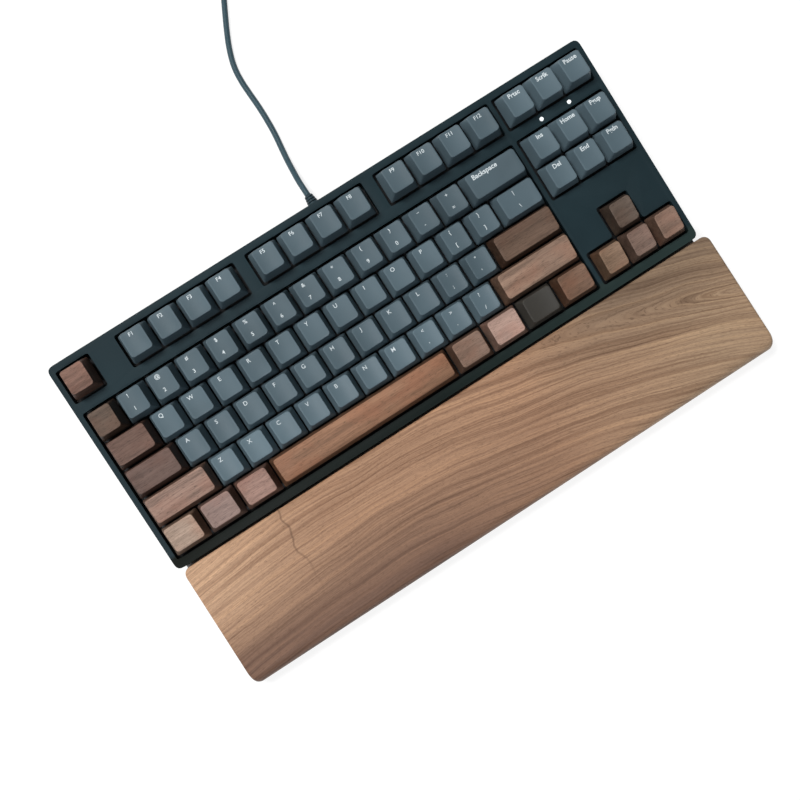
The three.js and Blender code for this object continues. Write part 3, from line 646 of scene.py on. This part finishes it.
def add_legend(bm, shape, body, x, y, size, boldness):
    """Prints a legend on the top: a thin film that follows the surface, just proud of it."""
    mesh = text_outline(body, size, boldness)
    first_vert = len(bm.verts)
    first_face = len(bm.faces)
    bm.from_mesh(mesh)
    bpy.data.meshes.remove(mesh)
    bm.verts.ensure_lookup_table()
    bm.faces.ensure_lookup_table()
    for vert in bm.verts[first_vert:]:
        proud = FILM_TOP if vert.co.z > 0 else FILM_FOOT
        px, py = x + vert.co.x, y + vert.co.y
        vert.co = Vector((px, py, shape.surface(px, py) + proud))
    for face in bm.faces[first_face:]:
        face.material_index = 1  # the ink


SLIDER_HALF = Vector((3.3, 2.6)) * MM
SLIDER_LOW = 1.2 * MM
STABILISER_HALF = Vector((2.3, 2.8)) * MM
STABILISER_LOW = 3.1 * MM
BOSS_RADIUS = 2.75 * MM
BOSS_FOOT = RIM_HEIGHT + 0.4 * MM
SPACE_POST = 50 * MM  # from the middle of the space bar to its posts
LONG_KEY_POST = 11.94 * MM


def stabilisers(width):
    """Places of the stabiliser posts of a key, from its middle."""
    if width < 2:
        return ()
    post = SPACE_POST if width > 6 else LONG_KEY_POST
    return (-post, post)


def add_stem(bm, shape, x):
    """The cap's round boss and, plugged into it, the slider of the switch or stabiliser."""
    half, low = (STABILISER_HALF, STABILISER_LOW) if x else (SLIDER_HALF, SLIDER_LOW)
    roof = shape.surface(x, 0) - CAP_ROOF + 0.2 * MM
    circle = arc((x, 0), BOSS_RADIUS, 0, 342, 19)
    loft(bm, [[Vector((p.x, p.y, z)) for p in circle] for z in (BOSS_FOOT, roof)])
    first_face = len(bm.faces)
    rings = []
    for z, inset in ((low, 0.4), (low + 0.4 * MM, 0), (RIM_HEIGHT, 0), (BOSS_FOOT, 0.4)):
        outline = rounded_rectangle(half.x - inset * MM, half.y - inset * MM, 0.4 * MM,
                                    corner=2, side_x=1, side_y=1)
        rings.append([Vector((x + p.x, p.y, z)) for p in outline])
    loft(bm, rings)
    bm.faces.ensure_lookup_table()
    for face in bm.faces[first_face:]:
        face.material_index = 2  # the slider's plastic


def make_cap(name, node, row, x_units, width, legends, materials):
    """A keycap with its legends, boss and sliders, centred x_units pitches along its row."""
    shape = CapShape(width, row)
    bm = bmesh.new()
    shape.build(bm)
    if legends:
        size, boldness, places = LEGEND_STYLES[legend_style(width, legends)]
        for body, (x, y) in zip(legends, places):
            add_legend(bm, shape, body, x * MM, y * MM + CAP_TOP_SKEW, size * MM, boldness * MM)
    for x in (0, *stabilisers(width)):
        add_stem(bm, shape, x)
    bm.transform(DECK @ Matrix.Translation((x_units * KEY_PITCH, ROWS[row][0] * KEY_PITCH, 0)))
    cap = link(name, mesh_from(name, bm, 50), *materials)
    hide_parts(node)
    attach(cap, node)
    return cap


GREY_CAP = (0.103, 0.150, 0.178)
# Painted light and shade on the grey caps: each row gets its own lit or shaded copy of the grey, as the light
# falls on the row's tilt; what GREY_CAP is multiplied by.
GREY_ROW_PAINTED_LIGHT = {"lower": 1.16, "home": 0.93, "upper": 0.93, "number": 0.81, "function": 0.88}
NAVIGATION_NODES = ("keys_print_pause", "keys_insert_pageup", "keys_delete_pagedown")
OLIVE_CAP = (0.050, 0.046, 0.040)
LEGEND_COLOUR = (0.70, 0.77, 0.80)
SLIDER_BROWN = (0.16, 0.085, 0.045)

# Each walnut key was cut from its own block: its middle tone, and how far its streaks stray. The pale tones of the
# keys at the left, left_ctrl most of all, also hold a painted sheen.
WALNUT_TONES_AND_SHEEN = {
    "escape": ((0.212, 0.120, 0.092), 0.38),
    "grave": ((0.122, 0.085, 0.065), 0.30),
    "tab": ((0.142, 0.085, 0.067), 0.42),
    "caps_lock": ((0.143, 0.090, 0.074), 0.25),
    "left_shift": ((0.294, 0.188, 0.147), 0.42),
    "left_ctrl": ((0.388, 0.280, 0.217), 0.32),
    "left_os": ((0.298, 0.205, 0.179), 0.24),
    "left_alt": ((0.334, 0.205, 0.167), 0.34),
    "space": ((0.300, 0.160, 0.096), 0.30),
    "right_alt": ((0.242, 0.154, 0.114), 0.25),
    "fn": ((0.445, 0.295, 0.243), 0.22),
    "right_ctrl": ((0.198, 0.115, 0.077), 0.30),
    "right_shift": ((0.305, 0.198, 0.145), 0.34),
    "enter": ((0.134, 0.085, 0.061), 0.38),
    "up": ((0.128, 0.093, 0.073), 0.25),
    "left": ((0.246, 0.158, 0.106), 0.28),
    "down": ((0.215, 0.143, 0.114), 0.25),
    "right": ((0.257, 0.166, 0.126), 0.28),
}


def make_keys():
    """Every cap of the KEYS table, from left to right along each node."""
    greys_by_painted_light = {}
    # A lit or shaded copy of the grey for each row, painted light and shade; the navigation keys keep the grey as
    # it is.
    for row, tone in {**GREY_ROW_PAINTED_LIGHT, "navigation": 1.0}.items():
        greys_by_painted_light[row] = moulded_plastic(f"key_grey_{row}", times(GREY_CAP, tone), 0.44, 0.16, 0.03)
    olive = moulded_plastic("key_olive", OLIVE_CAP, 0.5, 0.16, 0.03)
    ink = moulded_plastic("key_legend", LEGEND_COLOUR, 0.5, 0.2, 0.005, variation=0.04)
    slider = moulded_plastic("switch_slider", SLIDER_BROWN, 0.4, 0.3, 0.01)
    for node, row, first, keys in KEYS:
        left = first - keys[0][0] / 2
        for width, name, *legends in keys:
            if name in WALNUT_TONES_AND_SHEEN:
                seed = 1 + list(WALNUT_TONES_AND_SHEEN).index(name)
                material = walnut(f"walnut_{name}", *WALNUT_TONES_AND_SHEEN[name], seed)
                slot = "key_walnut"
            elif name == "menu":
                material, slot = olive, "key_olive"
            else:
                material = greys_by_painted_light["navigation" if node in NAVIGATION_NODES else row]
                slot = "key_grey"
            cap = make_cap(f"cap_{name}", node, row, left + width / 2, width, legends,
                           (material, ink, slider))
            left += width


make_keys()

# ---- Case shells ----

SHARP_EDGE = math.radians(36)


def refined(node, bevel_mm, material, segments):
    """A copy of a CAD node with clean faces and rounded edges, standing for it."""
    bm = bmesh.new()
    bm.from_mesh(frame["nodes"][node].data)
    bmesh.ops.remove_doubles(bm, verts=bm.verts, dist=0.004 * MM)
    bmesh.ops.dissolve_limit(bm, angle_limit=math.radians(0.6), verts=bm.verts, edges=bm.edges)
    sharp = [e for e in bm.edges if e.is_manifold and e.calc_face_angle() > SHARP_EDGE]
    bmesh.ops.bevel(bm, geom=sharp, offset=bevel_mm * MM, offset_type="OFFSET", segments=segments,
                    profile=0.5, affect="EDGES", clamp_overlap=True)
    piece = link(f"{node}_shape", mesh_from(node, bm, 40), material)
    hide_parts(node)
    bodies = frame["record"]["behaviour"]["bodies"]
    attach(piece, next(body for body, members in bodies.items() if node in members))
    return piece


CASE_COLOUR = (0.015, 0.030, 0.037)
# Painted shade and sheen on the case's front border: what the case's colour is multiplied by there, from the left
# end to the right.
BORDER_PAINTED_LIGHT = [(0.0, (0.25, 0.18, 0.08)), (0.5, (0.38, 0.36, 0.26)), (0.95, (1.6, 1.35, 1.05))]
BORDER_PAINTED_LIGHT_END = 6.5 * MM  # from the front edge
BORDER_PAINTED_LIGHT_FADE = 2.5 * MM


def border_painted_light(shader, plastic):
    """Painted light on the front border: a warm painted reflection makes it less blue than the rest of the case,
    with painted shade towards the left and a painted sheen at the right.
    """
    place = shader.split(shader.stretch((1, 1, 1)))
    edge = case_low.y + BORDER_PAINTED_LIGHT_END
    in_border = shader.range(place["Y"], edge + BORDER_PAINTED_LIGHT_FADE, edge)
    along = shader.range(place["X"], case_low.x, case_high.x)
    return shader.mix(in_border, plastic,
                      shader.multiply(plastic, shader.ramp(along, BORDER_PAINTED_LIGHT)))


# The case's plastic, with painted shade and sheen in its front border.
case_plastic = moulded_plastic("case_plastic", CASE_COLOUR, 0.5, 0.3, 0.045, gloss=0.2,
                               tint=border_painted_light)
for node in ("top_case", "bottom_case"):
    refined(node, 0.8, case_plastic, 4)

# ---- Wrist rest ----

REST_EDGE = 1.5 * MM  # rounding of the upper edges at the back and both ends
REST_PLAN_CORNER = 4.5 * MM
REST_FALL = 2.5 * MM  # back to front, along the top
REST_ROLL = 6.5 * MM  # radius of the upper front edge
REST_FOOT = 1.0 * MM  # rounding of the lower edges
REST_END_STEPS = (0, 0.06, 0.22, 0.48, 0.84, 1.3, 1.9, 2.6, 3.5, 4.5)  # from each end, in mm
REST_MIDDLE_STEPS = 44


def rest_profile():
    """Side outline as (distance in front of the back face, height), from the lower back edge."""
    depth = rest_high.y - rest_low.y
    low, high = rest_low.z, rest_high.z
    front_top = high - REST_FALL
    points = arc((REST_FOOT, low + REST_FOOT), REST_FOOT, 270, 180, 3)
    points += arc((REST_EDGE, high - REST_EDGE), REST_EDGE, 180, 90, 5)
    points += between(points[-1], Vector((depth - REST_ROLL, front_top)), 24)
    points += arc((depth - REST_ROLL, front_top - REST_ROLL), REST_ROLL, 90, 0, 10)
    points += arc((depth - REST_FOOT, low + REST_FOOT), REST_FOOT, 0, -90, 3)
    return points + between(points[-1], points[0], 8)


def make_wrist_rest(material):
    """Profile pushed along X, with rounded plan corners and eased ends."""
    profile = rest_profile()
    depth = rest_high.y - rest_low.y
    height = rest_high.z - rest_low.z
    half = (rest_high.x - rest_low.x) / 2
    centre_x = (rest_high.x + rest_low.x) / 2
    inner = half - REST_PLAN_CORNER
    ends = [half - distance * MM for distance in REST_END_STEPS]
    places = [-x for x in ends]
    places += [lerp(-inner, inner, k / REST_MIDDLE_STEPS) for k in range(1, REST_MIDDLE_STEPS)]
    places += reversed(ends)

    def hollow(radius, distance):
        """How far a rounded corner lies inside its square corner, this far from its end."""
        reach = max(0.0, radius - distance)
        return radius - math.sqrt(radius ** 2 - reach ** 2)

    rings = []
    for x in places:
        cut = hollow(REST_PLAN_CORNER, half - abs(x))
        drop = hollow(REST_EDGE, half - abs(x))
        ring = []
        for forward, z in profile:
            forward = lerp(cut, depth - cut, forward / depth)
            z -= drop * (z - rest_low.z) / height
            ring.append(Vector((centre_x + x, rest_high.y - forward, z)))
        rings.append(ring)
    bm = bmesh.new()
    loft(bm, rings)
    rest = link("wrist_rest_block", mesh_from("wrist_rest_block", bm, 50), material)
    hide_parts("wrist_rest")
    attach(rest, "wrist_rest")
    return rest


# The board was cut off-centre, so its growth rings arch along it. They lie about a pith under
# the board, given here in millimetres: the middle of its arch, how fast it bows towards the
# user, its depth, and where and how steeply it comes up to the board's top at the right.
PITH_X, PITH_Y = -90.5, -11.7
PITH_BOW = 0.00075
PITH_DEPTH = 12.0
PITH_SURFACES_X, PITH_RISE = 172, 70
RING_SPACING = 5.4

WHITE = (1, 1, 1)
# Streaks along the grain, coarse to fine: features per millimetre along the grain, across the
# rings and up, and what they multiply the colour by.
REST_STREAKS = (
    ((0.004, 0.42, 0.1),
     [(0.34, (0.74, 0.70, 0.68)), (0.5, WHITE), (0.68, (1.18, 1.17, 1.13))]),
    ((0.012, 1.1, 0.3),
     [(0.30, (0.72, 0.68, 0.66)), (0.48, WHITE), (0.72, (1.16, 1.15, 1.12))]),
    ((0.06, 3.0, 1.5), [(0.28, (0.85, 0.83, 0.81)), (0.55, (1.04, 1.04, 1.03))]),
)
REST_PORES = (0.42, 5.0, 4.0)
RING_LINE = [(0.0, WHITE), (0.55, WHITE), (0.86, (0.70, 0.66, 0.64)), (0.93, (1.02, 1.02, 1.02)),
             (1.0, WHITE)]


def pith_distance(shader, x, y, z):
    """How far each point lies from the pith, which wanders a little."""
    wander = shader.noise(shader.stretch((11, 24, 24)))
    along = shader.difference(x, PITH_X)
    bow = shader.product(shader.product(along, along), PITH_BOW)
    across = shader.sum(shader.difference(y, PITH_Y), bow)
    across = shader.sum(across, shader.range(wander, 0, 1, -5.0, 5.0))
    to_rise = shader.math("DIVIDE", shader.difference(x, PITH_SURFACES_X), PITH_RISE)
    cover = shader.difference(1.0, shader.math("EXPONENT", to_rise))
    depth = shader.sum(shader.product(cover, PITH_DEPTH), shader.difference(rest_high.z / MM, z))
    squares = shader.sum(shader.product(across, across), shader.product(depth, depth))
    return shader.math("SQRT", squares)


def rest_tones(shader, x, y):
    """The board's slow changes of colour: plum in front, pale at the left, olive at the right."""
    base, plum, pale = (0.410, 0.240, 0.150), (0.185, 0.104, 0.072), (0.600, 0.385, 0.250)
    sand, olive = (0.405, 0.275, 0.180), (0.205, 0.143, 0.100)
    front = shader.product(shader.range(y, -50, -96), shader.range(x, 100, -50))
    wood = shader.mix(front, base, plum)
    far_left = shader.product(shader.range(x, -95, -165), shader.range(y, -90, -55))
    wood = shader.mix(shader.product(far_left, 0.75), wood, pale)
    wood = shader.mix(shader.range(x, 40, 150), wood, sand)
    back_right = shader.product(shader.range(x, 40, 110), shader.range(y, -72, -34))
    return shader.mix(shader.product(back_right, 0.8), wood, olive)


def check_in_wood(shader, x, y):
    """How much of a fine check shows, which runs forward from the back edge near the left end."""
    jitter = shader.noise(shader.stretch((20, 75, 75)), roughness=0.6)
    line_x = shader.sum(shader.product(y, 0.03), -115.5)
    line_x = shader.sum(line_x, shader.range(jitter, 0, 1, -4.5, 4.5))
    off_line = shader.math("ABSOLUTE", shader.difference(x, line_x))
    return shader.product(shader.range(off_line, 0.9, 0.25), shader.range(y, -82, -48, 0, 0.5))


def rest_walnut():
    """Walnut board with cathedral grain. Distances in its nodes are in millimetres."""
    shader = Shader("rest_walnut", Specular_IOR_Level=WOOD_GLOSS)
    place = shader.split(shader.stretch((1 / MM, 1 / MM, 1 / MM)))
    x, y, z = place["X"], place["Y"], place["Z"]
    radius = pith_distance(shader, x, y, z)
    waver = shader.noise(shader.stretch((60, 240, 240)))
    rings = shader.sum(radius, shader.range(waver, 0, 1, -0.5, 0.5))
    grain = shader.node("CombineXYZ", "Vector", X=x, Y=rings, Z=z)

    def streaks(scale, detail):
        stretched = shader.node("Mapping", "Vector", Vector=grain, Scale=scale)
        return shader.noise(stretched, detail, roughness=0.55)

    wood = rest_tones(shader, x, y)
    for scale, tints in REST_STREAKS:
        fibre = streaks(scale, 3)
        wood = shader.multiply(wood, shader.ramp(fibre, tints))
    phase = shader.math("FRACT", shader.math("DIVIDE", rings, RING_SPACING))
    near_pith = shader.range(radius, 34, 6, 0.15, 1.0)
    wood = shader.mix(near_pith, wood, shader.multiply(wood, shader.ramp(phase, RING_LINE)))
    pore_mask = shader.range(streaks(REST_PORES, 1), 0.56, 0.70)
    wood = shader.mix(shader.product(pore_mask, 0.45), wood, (0.075, 0.040, 0.026))
    wood = shader.mix(check_in_wood(shader, x, y), wood, (0.10, 0.050, 0.030))
    shader.colour(wood)
    wood_surface(shader, fibre, pore_mask, 0.06, 0.45)
    return shader.material


make_wrist_rest(rest_walnut())

# ---- Metal, rubber, switches and indicators ----


def set_material(node, material):
    """Gives a CAD node that is shown as it is a better material."""
    mesh = frame["nodes"][node].data
    mesh.materials.clear()
    mesh.materials.append(material)


def plain(name, colour, roughness, metallic=0.0, grain_mm=0.4, depth_mm=0.02):
    """A finish with a fine even grain in its colour and surface."""
    shader = Shader(name, roughness=roughness, Metallic=metallic)
    grain = shader.noise(shader.stretch([1 / (grain_mm * MM)] * 3), detail=3)
    shader.colour(shader.mix(grain, times(colour, 0.85), times(colour, 1.12)))
    shader.bump(grain, depth_mm * MM, 0.4)
    return shader.material


rubber = plain("rubber_black", (0.012, 0.012, 0.013), 0.85, grain_mm=0.6, depth_mm=0.05)
wire_steel = plain("wire_steel", (0.55, 0.56, 0.57), 0.28, metallic=1.0)
cable_rubber = plain("cable_rubber", (0.030, 0.055, 0.070), 0.5)
tongue_white = plain("tongue_white", (0.75, 0.75, 0.73), 0.4)
contact_gold = plain("contact_gold", (0.80, 0.56, 0.22), 0.3, metallic=1.0)
# Painted shade: near-black plates stand for the shade seen through the plug shell's latch windows.
window_painted_shade = plain("window_painted_shade", (0.01, 0.01, 0.01), 0.6)
tie_fabric = plain("tie_fabric", (0.018, 0.019, 0.021), 0.95, grain_mm=0.35, depth_mm=0.25)

set_material("switch_plate", plain("plate_black", (0.012, 0.013, 0.015), 0.5))
set_material("switch_bank", plain("switch_black", (0.011, 0.011, 0.013), 0.4))
set_material("circuit_board", plain("board_green", (0.015, 0.07, 0.04), 0.45))
for node in frame["nodes"]:
    if node.startswith("stabiliser_"):
        set_material(node, wire_steel)


def indicator_lens():
    """Milky light pipe, softly lit from inside."""
    lens = Shader("indicator_lens", roughness=0.25, Emission_Color=(0.9, 0.96, 1.0),
                  Emission_Strength=0.55)
    haze = lens.noise(lens.stretch([900] * 3))
    lens.colour(lens.mix(haze, (0.86, 0.90, 0.92), (0.95, 0.97, 0.98)))
    return lens.material


lens = indicator_lens()
for node in ("indicator_left", "indicator_right"):
    refined(node, 0.25, lens, 2)
for node in ("pad_front_left", "pad_front_right", "pad_rear_left", "pad_rear_right"):
    refined(node, 0.25, rubber, 2)
refined("wrist_rest_pad", 0.25, rubber, 2)
for node in ("foot_left", "foot_right"):
    refined(node, 0.35, case_plastic, 2)

# ---- Strain relief, plug and cable tie ----


def lengthwise(name, matrix, stations, material, node=None, hollow=False):
    """A loft along a frame's X axis, riding on the case.

    Each station is (distance, half width, half height, corner radius) in millimetres.
    """
    bm = bmesh.new()
    rings = []
    for distance, half_width, half_height, corner in stations:
        outline = rounded_rectangle(half_width * MM, half_height * MM, corner * MM,
                                    corner=5, side_x=3, side_y=2)
        rings.append([Vector((distance * MM, p.x, p.y)) for p in outline])
    loft(bm, rings, closed=not hollow)
    bm.transform(matrix)
    piece = link(name, mesh_from(name, bm, 32), material)
    if node:
        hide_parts(node)
    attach(piece, "case")
    return piece


def make_boot():
    """Strain relief: a flange inside the back wall, a neck, and a ribbed taper outside it."""
    def round_ring(distance, radius):
        return (distance, radius, radius, radius * 0.98)

    stations = [round_ring(*step) for step in (
        (-4.4, 4.4), (-4.3, 4.8), (-2.9, 4.8), (-2.8, 4.6), (-2.8, 3.2), (0.3, 3.2), (0.3, 4.0),
        (0.5, 4.2), (1.8, 4.2), (2.1, 4.05))]
    for k in range(5):
        start = 2.6 + 1.65 * k
        radius = lerp(3.9, 2.5, k / 5)
        stations += [round_ring(start, radius - 0.7), round_ring(start + 0.5, radius - 0.7),
                     round_ring(start + 0.55, radius), round_ring(start + 1.5, radius - 0.2)]
    stations.append(round_ring(11, 2.2))
    origin = Vector((CASE_X, case_high.y, CABLE_EXIT.z))
    matrix = Matrix.Translation(origin) @ Matrix.Rotation(math.radians(90), 4, "Z")
    return lengthwise("strain_relief", matrix, stations, cable_rubber, "cable_boot")


PLUG_PLACE = (Matrix.Translation(along_tail(PLUG_START_MM, PLUG_AXIS_MM))
              @ Matrix.Rotation(PLUG_HEADING, 4, "Z"))


def make_grip():
    """Plug grip: a ribbed relief, then a rounded body with a ridged hollow for the thumb."""
    stations = [(0, 2.0, 2.0, 1.9), (0.2, 2.3, 2.3, 2.2)]
    for k in range(4):
        start, rib = 1.4 + 1.6 * k, lerp(2.6, 3.3, k / 3)
        groove = rib - 0.6
        stations += [(start + ahead, half, half, half * 0.9) for ahead, half in (
            (0, rib), (0.6, rib), (0.7, groove), (1.4, groove))]
    stations += [(7.9, 5.4, 2.9, 1.8), (8.4, 6.6, 3.5, 2.0), (9.6, 7.4, 3.85, 2.1),
                 (14, 7.6, 3.9, 2.1)]
    for k in range(6):
        start = 15.5 + 1.9 * k
        stations += [(start, 7.35, 3.5, 2.0), (start + 0.8, 7.35, 3.5, 2.0),
                     (start + 1.0, 7.5, 3.8, 2.0), (start + 1.6, 7.5, 3.8, 2.0)]
    stations += [(28, 7.6, 3.9, 2.1), (34, 7.55, 3.85, 2.1), (34.8, 7.2, 3.5, 1.9),
                 (35, 6.4, 2.9, 1.5)]
    return lengthwise("plug_grip", PLUG_PLACE, stations, cable_rubber, "usb_plug_grip")


SHELL_START = 35.3  # along the plug's axis, in millimetres
SHELL_END = 53.3


def make_plug_shell():
    """Folded steel sleeve, open at its end."""
    stations = [(SHELL_START, 6, 2.25, 0.5), (SHELL_END - 0.15, 6, 2.25, 0.5),
                (SHELL_END, 5.9, 2.15, 0.45), (SHELL_END, 5.75, 2.0, 0.35),
                (SHELL_END - 0.15, 5.65, 1.9, 0.3), (SHELL_START + 0.4, 5.65, 1.9, 0.3),
                (SHELL_START, 5.6, 1.9, 0.3)]
    return lengthwise("plug_shell", PLUG_PLACE, stations, wire_steel, "usb_plug_shell",
                      hollow=True)


def make_plug_inside():
    """The white tongue, its four contacts, and the shell's latch windows as dark plates of painted shade."""
    def beside_axis(y, z):
        return PLUG_PLACE @ Matrix.Translation(Vector((0, y, z)) * MM)

    pieces = [lengthwise(
        "plug_tongue", beside_axis(0, -1.05),
        [(SHELL_START, 5.4, 0.8, 0.2), (SHELL_END - 0.9, 5.4, 0.8, 0.2),
         (SHELL_END - 0.6, 5.2, 0.6, 0.2)], tongue_white)]
    contact = [(SHELL_START + 8.5, 0.5, 0.05, 0.04), (SHELL_END - 2, 0.5, 0.05, 0.04)]
    for k in range(4):
        pieces.append(lengthwise(f"plug_contact_{k + 1}", beside_axis((k - 1.5) * 2.4, -0.2),
                                 contact, contact_gold))
    # Painted shade where each latch window is.
    window = [(SHELL_END - 7.6, 1.1, 0.04, 0.03), (SHELL_END - 5.2, 1.1, 0.04, 0.03)]
    for side, y in (("left", -2.9), ("right", 2.9)):
        for face, z in (("low", -2.23), ("high", 2.23)):
            pieces.append(lengthwise(f"plug_window_{side}_{face}", beside_axis(y, z),
                                     window, window_painted_shade))
    return pieces


TIE_ANGLE = math.radians(-75)
TIE_WIDTH = 9 * MM
# Across the strap, in half widths, and how far it stands off the turns, in millimetres.
TIE_SECTION = ((-1, 0), (-1, 0.6), (-0.96, 0.9), (0.96, 0.9), (1, 0.6), (1, 0), (-1, 0))


def make_cable_tie():
    """Hook-and-loop strap round the wound turns, pressed thin where it lies on the desk."""
    inner = COIL_OUTER - COIL_TURNS * COIL_PITCH - CABLE_RADIUS
    outer = COIL_OUTER + CABLE_RADIUS
    half_depth = (outer - inner) / 2
    half_height = CABLE_RADIUS + (COIL_LAYERS - 1) * COIL_PITCH / 2
    loops = []
    for across, reach in TIE_SECTION:
        outline = rounded_rectangle(half_depth + reach * MM, half_height + reach * MM,
                                    (3 + reach) * MM, corner=6, side_x=6, side_y=5)
        loops.append([Vector((p.x, across * TIE_WIDTH / 2, max(p.y, -half_height - 0.08 * MM)))
                      for p in outline])
    bm = bmesh.new()
    loft(bm, loops, closed=False)
    bmesh.ops.remove_doubles(bm, verts=bm.verts, dist=0.001 * MM)
    bm.transform(
        Matrix.Translation(Vector((COIL_CENTRE.x, COIL_CENTRE.y, DESK_GAP + half_height)))
        @ Matrix.Rotation(TIE_ANGLE, 4, "Z")
        @ Matrix.Translation(Vector(((inner + outer) / 2, 0, 0))))
    tie = link("cable_tie", mesh_from("cable_tie", bm, 40), tie_fabric)
    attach(tie, "case")
    return tie


boot = make_boot()
grip = make_grip()
shell = make_plug_shell()
inside = make_plug_inside()
tie = make_cable_tie()

# ---- Studio ----

PAPER_GLOW = 0.82
SEAM_HALF = 5 * MM  # half the width of the shaded band at the seam
ROOM_COLOUR = (0.93, 0.97, 1.0, 1)
ROOM_LIGHT = 0.07  # how much light the room gives
ROOM_SEEN = 0.95  # how bright it looks past the paper's far edge
WARM, COOL = (1.0, 0.985, 0.96), (0.94, 0.97, 1.0)
# Name, place, power in watts, colour, and whether glossy surfaces mirror it.
LAMPS = (
    ("window", (-0.66, 0.86, 1.86), 29, WARM, False),
    ("window_shine", (-0.34, 0.90, 1.92), 10, WARM, True),
    ("ceiling", (-0.60, -0.80, 1.92), 13.5, COOL, True),
)
LAMP_SIZE = 0.6


def outside_seam(shader):
    """0 on the paper in the seam between the case and the wrist rest, 1 elsewhere: the paper doesn't glow in the
    seam, so the band there is a painted shade.

    The band runs on a little at the right, where the rest is the longer.
    """
    place = shader.split(shader.stretch((1, 1, 1)))
    left, right = case_low.x + 1.5 * MM, case_high.x + 3.5 * MM
    off_middle = shader.math("ABSOLUTE", shader.difference(place["X"], (left + right) / 2))
    off_seam = shader.math("ABSOLUTE", shader.difference(place["Y"], case_low.y))
    inside_x = shader.math("LESS_THAN", off_middle, (right - left) / 2)
    inside_y = shader.math("LESS_THAN", off_seam, SEAM_HALF)
    return shader.difference(1.0, shader.product(inside_x, inside_y))


def make_floor():
    """White paper that glows evenly, so that its shadows stay faint, but not in the seam, where the band without
    glow is a painted shade.
    """
    bm = bmesh.new()
    bmesh.ops.create_grid(bm, x_segments=1, y_segments=1, size=4)
    paper = Shader("floor_paper", roughness=0.9, Specular_IOR_Level=0.1, Emission_Color=WHITE)
    fleck = paper.noise(paper.stretch([60] * 3))
    paper.colour(paper.mix(fleck, (0.24, 0.24, 0.24), (0.26, 0.26, 0.26)))
    # No glow in the seam's band: painted shade there.
    glow = paper.product(outside_seam(paper), PAPER_GLOW)
    paper.fill(paper.surface, Emission_Strength=glow)
    link("floor", mesh_from("floor", bm), paper.material)


def make_room():
    world = bpy.data.worlds.new("studio")
    bpy.context.scene.world = world
    world.use_nodes = True
    nodes, links = world.node_tree.nodes, world.node_tree.links
    background = nodes["Background"]
    background.inputs["Color"].default_value = ROOM_COLOUR
    brightness = nodes.new("ShaderNodeMapRange")
    brightness.inputs["To Min"].default_value = ROOM_LIGHT
    brightness.inputs["To Max"].default_value = ROOM_SEEN
    seen = nodes.new("ShaderNodeLightPath").outputs["Is Camera Ray"]
    links.new(seen, brightness.inputs["Value"])
    links.new(brightness.outputs["Result"], background.inputs["Strength"])


def make_lamps():
    """Square soft boxes, each aimed at the middle of the object."""
    for name, place, power, colour, glossy in LAMPS:
        data = bpy.data.lights.new(name, "AREA")
        data.shape = "SQUARE"
        data.size = LAMP_SIZE
        data.energy = power
        data.color = colour
        lamp = link(name, data)
        lamp.visible_glossy = glossy
        lamp.location = place
        lamp.rotation_euler = (-lamp.location).to_track_quat("-Z", "Y").to_euler()


make_floor()
make_room()
make_lamps()
bpy.context.scene.view_settings.view_transform = "Standard"
